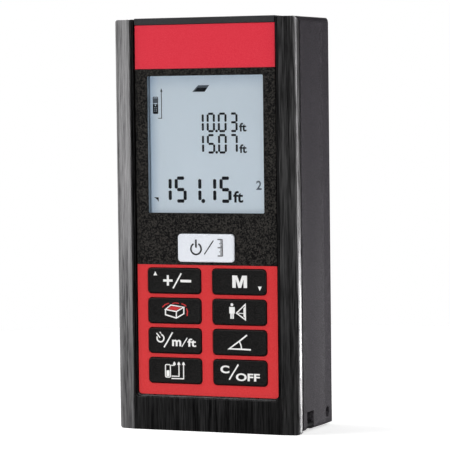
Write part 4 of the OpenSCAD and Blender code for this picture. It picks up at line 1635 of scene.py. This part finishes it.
@dataclass
class EndCap:
    """Cap at the beam end, with softened edges, and the receiver lens in it."""

    finishes: Finishes
    edge: float = 0.22
    top: float = 117.9
    lip: float = 0.75

    def build(self) -> None:
        """Builds the cap and the receiver lens."""
        form = Form().cad("end_cap")
        form.bevel(self.edge, lambda at, n: at.z / MM > self.top or depth_of(at) < self.lip, 3)
        mount(form.piece("end_cap_softened", self.finishes.cap), ROOT, "dark_cap_plastic", ["end_cap"])
        lens = Form().cad("receiver_lens", 0.01)
        mount(lens.piece("receiver_lens_polished", self.finishes.lens, 50.0), ROOT, "lens_glass",
              ["receiver_lens"])


@dataclass
class RearHousing:
    """Soft-coated shell: hollow sides up to a crease, then a rounded rear band."""

    finishes: Finishes
    half: float = 28.5
    flat: float = 25.3
    front: float = 3.1
    crease: float = 20.0
    back: float = 28.0
    hollow: float = 0.32
    lip: float = 0.12
    turn_in: float = 0.2
    shoulder: float = 1.8
    shoulder_share: float = 0.8
    top: float = 118.0
    edge: float = 0.16
    cut_pitch: float = 0.9

    def inset(self, depth: float) -> float:
        """How far the side lies inside its widest place.

        Args:
            depth: Depth on the side.

        Returns:
            The inset in millimetres.
        """
        if depth <= self.crease:
            share = max(depth - self.front, 0.0) / (self.crease - self.front)
            return self.lip * (1 - share) + self.hollow * math.sin(math.pi * share ** 1.25)
        share = min((depth - self.crease) / (self.back - self.crease), 1.0)
        return self.turn_in * share ** 1.2

    def sculpt(self, x: float, depth: float, z: float) -> tuple[float, float, float]:
        """Moves a point of the straight side onto the hollow one.

        Args:
            x: Old X.
            depth: Old depth.
            z: Old Z.

        Returns:
            The new X, depth and Z.
        """
        over = (abs(x) - self.flat) / (self.half - self.flat)
        if over <= 0 or depth < self.front - 0.1:
            return x, depth, z
        rise = min(max(z - (self.top - self.shoulder), 0.0) / self.shoulder, 1.0)
        corner = self.shoulder * self.shoulder_share * (1 - math.sqrt(max(1 - rise ** 2, 0.0)))
        inset = (self.inset(depth) + corner) * min(over, 1.0) ** 2
        return math.copysign(abs(x) - inset, x), depth, z

    def build(self) -> None:
        """Builds the shell."""
        form = Form().cad("rear_housing")

        def rim(at: Vector, normals: list[Vector]) -> bool:
            """Edges of the side openings, of the lower end and of the openings in the back."""
            on_side = abs(at.x) / MM > self.half - NEAR and any(abs(v.x) > 0.9 for v in normals)
            on_back = depth_of(at) > self.back - NEAR and any(v.y > 0.9 for v in normals)
            front = depth_of(at) < self.front + NEAR and abs(at.x) / MM > self.flat
            return on_side or on_back or front

        form.bevel(self.edge, rim, 2)
        span = self.back - self.front
        steps = int(span / self.cut_pitch)
        form.slices(1, [self.front + span * i / steps for i in range(1, steps)] + [self.crease])
        form.slices(0, [s * v for v in (25.9, 26.6, 27.2, 27.7, 28.1, 28.35) for s in (-1, 1)])
        form.slices(2, [self.top - self.shoulder * v for v in (1.0, 0.75, 0.52, 0.34, 0.2, 0.09)])
        form.shape(self.sculpt)
        mount(form.piece("rear_housing_soft", self.finishes.shell, 32.0), ROOT,
              "soft_coated_plastic", ["rear_housing"])


@dataclass
class Power:
    """Battery door, the two cells and their springs."""

    finishes: Finishes
    cell_x: float = 5.6
    cell_depth: float = 20.35
    bay: tuple[float, float] = (22.0, 72.5)
    cell: tuple[float, float] = (25.0, 69.5)
    plate: float = 0.4
    wire: float = 0.28
    turns: float = 4.5
    foot: float = 3.2
    tip: float = 1.9
    rise: float = 2.3
    door_edge: float = 0.22
    door_face: float = 27.6
    cell_edge: float = 0.35

    def spring(self, pattern: Pattern, x: float, z: float, up: bool) -> bpy.types.NodeSocket:
        """Adds one conical spring to a pattern.

        Args:
            pattern: The tree that makes the springs.
            x: X of its axis.
            z: Z of its wide foot.
            up: Whether it points upwards.

        Returns:
            Its geometry.
        """
        side = "Lower" if up else "Upper"
        coil = pattern.node("GeometryNodeCurveSpiral", {}, {
            "Resolution": 28, "Rotations": pattern.size(side + " Turns", self.turns),
            "Start Radius": pattern.size(side + " Foot Radius", self.foot * MM),
            "End Radius": pattern.size(side + " Tip Radius", self.tip * MM),
            "Height": pattern.size(side + " Height", self.rise * MM)})
        ring = pattern.node("GeometryNodeCurvePrimitiveCircle", {}, {
            "Resolution": 8, "Radius": pattern.size(side + " Wire", self.wire * MM)})
        wire = pattern.node("GeometryNodeCurveToMesh", {}, {
            "Curve": coil.outputs[0], "Profile Curve": ring.outputs[0], "Fill Caps": True})
        moved = pattern.node("GeometryNodeTransform", {}, {
            "Geometry": wire.outputs[0], "Translation": place(x, self.cell_depth, z),
            "Rotation": (0.0 if up else math.pi, 0.0, 0.0)})
        return moved.outputs[0]

    def build(self) -> None:
        """Builds the door, the cells and the springs."""
        f = self.finishes
        door = Form().cad("battery_door")
        door.bevel(self.door_edge, lambda at, n: depth_of(at) > self.door_face
                   and any(v.y > 0.5 for v in n), 3)
        mount(door.piece("battery_door_grooved", f.shell), "battery_door", "soft_coated_plastic",
              ["battery_door"])
        for node, up in (("battery_left", True), ("battery_right", False)):
            form = Form().cad(node)
            form.bevel(self.cell_edge, lambda at, n: any(abs(v.z) > 0.9 for v in n), 3)
            jacket = CellJacket(node + "_jacket", *self.cell, up).material()
            mount(form.piece(node + "_cell", jacket, 50.0), ROOT, "cell_jacket", [node])
        pattern = Pattern("conical_springs")
        both = pattern.node("GeometryNodeJoinGeometry", {}, {0: [
            self.spring(pattern, -self.cell_x, self.bay[0] + self.plate + self.wire, True),
            self.spring(pattern, self.cell_x, self.bay[1] - self.plate - self.wire, False)]})
        made = pattern.bake("battery_spring_wire", both.outputs[0], f.spring)
        mount(made, ROOT, "spring_steel", ["battery_springs"])


@dataclass
class EndPiece:
    """Fold-out end piece with its pin, and the bar of the lanyard slot."""

    finishes: Finishes
    half: float = 15.0
    top: float = 18.9
    edge: float = 0.3
    pin_edge: float = 0.2

    def build(self) -> None:
        """Builds the end piece, the pin and the bar."""
        f = self.finishes
        arm = Form().cad("end_piece")
        arm.bevel(self.edge, lambda at, n: abs(at.x) / MM > self.half - NEAR
                  or at.z / MM > self.top, 3)
        mount(arm.piece("end_piece_softened", f.arm), "end_piece", "dark_hard_plastic", ["end_piece"])
        # The lanyard bar takes the dark screw steel: painted shade in its slot.
        for node, finish in (("end_piece_pin", f.steel), ("lanyard_bar", f.dark_screw)):
            bar = Form().cad(node)
            bar.bevel(self.pin_edge, lambda at, n: True, 2, 60.0)
            mount(bar.piece(node + "_turned", finish, 50.0), ROOT, "screw_steel", [node])


@dataclass(frozen=True)
class ScrewKind:
    """One kind of screw along the depth, its head towards the back."""

    name: str
    node: str
    slot: str
    places: tuple[Point, ...]
    tip: float
    seat: float
    shank: float
    head: float
    height: float


@dataclass
class Fasteners:
    """All screws, and the thread in the tripod insert. Shares are of a screw's own sizes."""

    finishes: Finishes
    crown: float = 0.72
    slot_length: float = 1.15
    slot_width: float = 0.26
    core: float = 0.86
    ridge: float = 0.13
    threaded: float = 0.7
    pitch: float = 0.45
    insert_radius: float = 3.13
    insert_at: tuple[float, float, float] = (0.0, 22.3, 79.7)

    def kinds(self) -> list[ScrewKind]:
        """The three kinds of screw."""
        sides = (-1, 1)
        return [
            ScrewKind("case_screw_set", "case_screws", "dark_screw_steel",
                      tuple((s * 23.3, z) for s in sides for z in (15.0, 105.0)),
                      3.4, 11.2, 1.0, 1.9, 1.3),
            ScrewKind("board_screw_set", "board_screws", "screw_steel",
                      tuple((s * x, z) for s in sides for x, z in ((15.0, 10.0), (17.6, 58.75))),
                      3.0, 7.8, 0.7, 1.3, 0.9),
            ScrewKind("optics_screw_set", "optics_screws", "screw_steel",
                      ((-3.5, 91.35), (-3.5, 99.35)), 6.6, 21.0, 0.7, 1.3, 0.9),
        ]

    def screws(self, kind: ScrewKind, finish: bpy.types.Material) -> None:
        """Builds every screw of one kind.

        Args:
            kind: The kind.
            finish: Its material.
        """
        pattern = Pattern(kind.name)
        head_r = pattern.size("Head Radius", kind.head * MM)
        head = pattern.node("GeometryNodeMeshCone", {}, {
            "Vertices": 32, "Radius Top": pattern.size("Crown Radius", kind.head * self.crown * MM),
            "Radius Bottom": head_r, "Depth": pattern.size("Head Height", kind.height * MM)})
        long, wide = kind.head * self.slot_length, kind.head * self.slot_width
        slots = [pattern.node("GeometryNodeMeshCube", {}, {"Size": tuple(v * MM for v in size)})
                 for size in ((long, wide, kind.height), (wide, long, kind.height))]
        cross = pattern.node("GeometryNodeMeshBoolean", {"operation": "UNION"}, {
            "Mesh 2": [s.outputs[0] for s in slots]})
        raised = pattern.node("GeometryNodeTransform", {}, {
            "Geometry": cross.outputs[0], "Translation": (0, 0, kind.height * 0.95 * MM)})
        cut = pattern.node("GeometryNodeMeshBoolean", {"operation": "DIFFERENCE"}, {
            "Mesh 1": head.outputs[0], "Mesh 2": raised.outputs[0]})
        length, core = kind.seat - kind.tip, kind.shank * self.core * MM
        shank = pattern.node("GeometryNodeMeshCylinder", {}, {
            "Vertices": 20, "Radius": pattern.size("Shank Radius", core),
            "Depth": pattern.size("Length", length * MM)})
        lowered = pattern.node("GeometryNodeTransform", {}, {
            "Geometry": shank.outputs[0], "Translation": (0, 0, -length / 2 * MM)})
        coil = pattern.node("GeometryNodeCurveSpiral", {}, {
            "Resolution": 14, "Rotations": pattern.size("Thread Turns", length * self.threaded / self.pitch),
            "Start Radius": core, "End Radius": core, "Height": length * self.threaded * MM})
        ridge = pattern.node("GeometryNodeCurvePrimitiveCircle", {}, {
            "Resolution": 3, "Radius": kind.shank * self.ridge * MM})
        thread = pattern.node("GeometryNodeCurveToMesh", {}, {
            "Curve": coil.outputs[0], "Profile Curve": ridge.outputs[0], "Fill Caps": True})
        at_tip = pattern.node("GeometryNodeTransform", {}, {
            "Geometry": thread.outputs[0], "Translation": (0, 0, (0.2 - length) * MM)})
        whole = pattern.node("GeometryNodeJoinGeometry", {}, {0: [
            cut.outputs[0], lowered.outputs[0], at_tip.outputs[0]]})
        turned = pattern.node("GeometryNodeTransform", {}, {
            "Geometry": whole.outputs[0], "Rotation": (-math.pi / 2, 0.0, 0.0)})
        points = pattern.node("GeometryNodeMeshToPoints", {}, {"Mesh": pattern.inside.outputs["Places"]})
        spread = pattern.node("GeometryNodeInstanceOnPoints", {}, {
            "Points": points.outputs[0], "Instance": turned.outputs[0]})
        made = pattern.bake(kind.name, spread.outputs[0], finish,
                            [place(x, kind.seat, z) for x, z in kind.places])
        mount(made, ROOT, kind.slot, [kind.node])

    def thread(self) -> None:
        """Builds the thread inside the tripod insert."""
        pattern = Pattern("tripod_thread")
        coil = pattern.node("GeometryNodeCurveSpiral", {}, {
            "Resolution": 40, "Rotations": pattern.size("Turns", 4.2),
            "Start Radius": pattern.size("Radius", self.insert_radius * MM),
            "End Radius": self.insert_radius * MM,
            "Height": pattern.size("Height", 5.3 * MM)})
        ridge = pattern.node("GeometryNodeCurvePrimitiveCircle", {}, {
            "Resolution": 3, "Radius": pattern.size("Ridge", 0.42 * MM)})
        wire = pattern.node("GeometryNodeCurveToMesh", {}, {
            "Curve": coil.outputs[0], "Profile Curve": ridge.outputs[0], "Fill Caps": True})
        turned = pattern.node("GeometryNodeTransform", {}, {
            "Geometry": wire.outputs[0], "Rotation": (-math.pi / 2, 0.0, 0.0),
            "Translation": place(*self.insert_at)})
        made = pattern.bake("tripod_insert_thread", turned.outputs[0], self.finishes.brass)
        mount(made, ROOT, "brass")

    def build(self) -> None:
        """Builds the screws and the thread."""
        for kind in self.kinds():
            finish = self.finishes.dark_screw if kind.slot.startswith("dark") else self.finishes.steel
            self.screws(kind, finish)
        self.thread()


# ---------------------------------------------------------------- studio


@dataclass(frozen=True)
class Softbox:
    """A rectangular lamp that points at the meter."""

    name: str
    at: tuple[float, float, float]
    width: float
    height: float
    watts: float


@dataclass
class Studio:
    """Camera, lamps, surroundings and floor."""

    yaw: float = 23.10
    pitch: float = 2.914
    roll: float = 0.695
    distance: float = 708.02
    lens: float = 200.26
    sensor: float = 36.0
    clip: tuple[float, float] = (0.01, 50.0)
    target: tuple[float, float, float] = (6.228, 0.0, 59.152)
    aim: tuple[float, float, float] = (0.0, 0.0, 55.0)
    dim: float = 0.03
    bright: float = 1.0
    bright_side: tuple[float, float, float] = (-1.0, 0.35, 0.0)
    onset: tuple[float, float] = (0.40, 1.0)
    backdrop: float = 1.0
    floor_glow: float = 0.60
    floor_reach: float = 320.0
    floor_sides: int = 96

    def lamps(self) -> list[Softbox]:
        """The lamps: two above the front, one overhead, one for the left rail, two at the right."""
        return [
            Softbox("front_right_softbox", (360.0, -330.0, 400.0), 220.0, 220.0, 1.36),
            Softbox("front_left_softbox", (-330.0, -230.0, 440.0), 220.0, 220.0, 0.85),
            Softbox("overhead_softbox", (-197.0, -28.0, 480.0), 170.0, 170.0, 0.9),
            Softbox("edge_strip", (480.0, -150.0, 60.0), 60.0, 220.0, 0.4),
            Softbox("rail_softbox", (-290.0, -276.0, 70.0), 120.0, 110.0, 0.15),
            Softbox("low_softbox", (190.0, 60.0, 12.0), 120.0, 20.0, 0.24),
        ]

    def camera(self) -> None:
        """Builds the camera."""
        yaw, pitch, roll = (math.radians(v) for v in (self.yaw, self.pitch, self.roll))
        s, c, sp, cp = math.sin(yaw), math.cos(yaw), math.sin(pitch), math.cos(pitch)
        forward = Vector((-s * cp, c * cp, -sp))
        level = Vector((c, s, 0.0))
        rise = Vector((-s * sp, c * sp, cp))
        up = rise * math.cos(roll) + level * math.sin(roll)
        right = level * math.cos(roll) - rise * math.sin(roll)
        data = bpy.data.cameras.new("view")
        data.lens = self.lens
        data.sensor_width = self.sensor
        data.clip_start, data.clip_end = self.clip
        made = bpy.data.objects.new("view", data)
        bpy.context.scene.collection.objects.link(made)
        turn = Matrix((right, up, -forward)).transposed().to_4x4()
        made.matrix_world = Matrix.Translation(place(*self.target) - forward * self.distance * MM) @ turn
        bpy.context.scene.camera = made

    def lamp(self, box: Softbox) -> None:
        """Builds one lamp.

        Args:
            box: Its place, size and strength.
        """
        data = bpy.data.lights.new(box.name, "AREA")
        data.shape = "RECTANGLE"
        data.size, data.size_y = box.width * MM, box.height * MM
        data.energy = box.watts
        made = bpy.data.objects.new(box.name, data)
        bpy.context.scene.collection.objects.link(made)
        made.location = Vector(box.at) * MM
        made.visible_camera = False
        ahead = Vector(self.aim) * MM - made.location
        made.rotation_euler = ahead.to_track_quat("-Z", "Y").to_euler()

    def floor(self) -> None:
        """Builds the pale floor."""
        n = Nodes("pale_floor")
        cloth = n.noise((300.0, 300.0, 300.0), 3.0)
        finish = n.surface(
            Base_Color=n.blend(cloth, (0.86, 0.86, 0.86), (0.90, 0.90, 0.90)),
            Roughness=cloth * 0.1 + 0.75, Specular_IOR_Level=0.2,
            Emission_Color=WHITE, Emission_Strength=self.floor_glow)
        form = Form()
        rim = [2 * math.pi * i / self.floor_sides for i in range(self.floor_sides)]
        rows = [form.loop(Vector((r * math.cos(a) * MM, r * math.sin(a) * MM, 0.0)) for a in rim)
                for r in (self.floor_reach, self.floor_reach * 0.5, 1.0)]
        form.skin(rows, caps=False)
        form.bm.faces.new(rows[-1])
        made = form.piece("floor", finish)
        if made.data.polygons[0].normal.z < 0:
            made.data.flip_normals()
        made.visible_glossy = False
        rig.stage(made)

    def surroundings(self) -> None:
        """Builds a white backdrop and, for all but camera rays, a dim room with one bright side."""
        world = bpy.data.worlds.new("surroundings")
        world.use_nodes = True
        tree = world.node_tree
        tree.nodes.clear()
        seen, way, side = (tree.nodes.new(kind) for kind in (
            "ShaderNodeLightPath", "ShaderNodeTexCoord", "ShaderNodeVectorMath"))
        side.operation = "DOT_PRODUCT"
        side.inputs[1].default_value = self.bright_side
        tree.links.new(way.outputs["Generated"], side.inputs[0])
        ramp, backdrop, room, choice, end = (tree.nodes.new(kind) for kind in (
            "ShaderNodeMapRange", "ShaderNodeBackground", "ShaderNodeBackground",
            "ShaderNodeMixShader", "ShaderNodeOutputWorld"))
        for name, value in zip(("From Min", "From Max", "To Min", "To Max"),
                               (*self.onset, self.dim, self.bright)):
            ramp.inputs[name].default_value = value
        tree.links.new(side.outputs["Value"], ramp.inputs["Value"])
        tree.links.new(ramp.outputs["Result"], room.inputs["Strength"])
        for shade in (backdrop, room):
            shade.inputs["Color"].default_value = WHITE
        backdrop.inputs["Strength"].default_value = self.backdrop
        tree.links.new(seen.outputs["Is Camera Ray"], choice.inputs[0])
        tree.links.new(room.outputs[0], choice.inputs[1])
        tree.links.new(backdrop.outputs[0], choice.inputs[2])
        tree.links.new(choice.outputs[0], end.inputs[0])
        bpy.context.scene.world = world

    def build(self) -> None:
        """Builds the whole studio."""
        bpy.context.scene.view_settings.view_transform = "Standard"
        self.camera()
        for box in self.lamps():
            self.lamp(box)
        self.surroundings()
        self.floor()


def main() -> None:
    """Loads the frame, builds every piece round it and writes both boxes."""
    logging.basicConfig(level=logging.INFO, format="%(message)s")
    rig.load()
    cad_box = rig.bounds()
    Studio().build()
    finishes = Finishes()
    Inside(finishes).build()
    for part in (FrontFrame(finishes), FacePanel(finishes), Keypad(finishes), Display(finishes),
                 EndCap(finishes), RearHousing(finishes), Power(finishes), EndPiece(finishes),
                 Fasteners(finishes)):
        part.build()
    with open(SIZE_FILE, "w") as sizes:
        json.dump({"cad": [list(p) for p in cad_box], "visual": [list(p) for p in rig.bounds()]}, sizes)


if __name__ == "__main__":
    main()
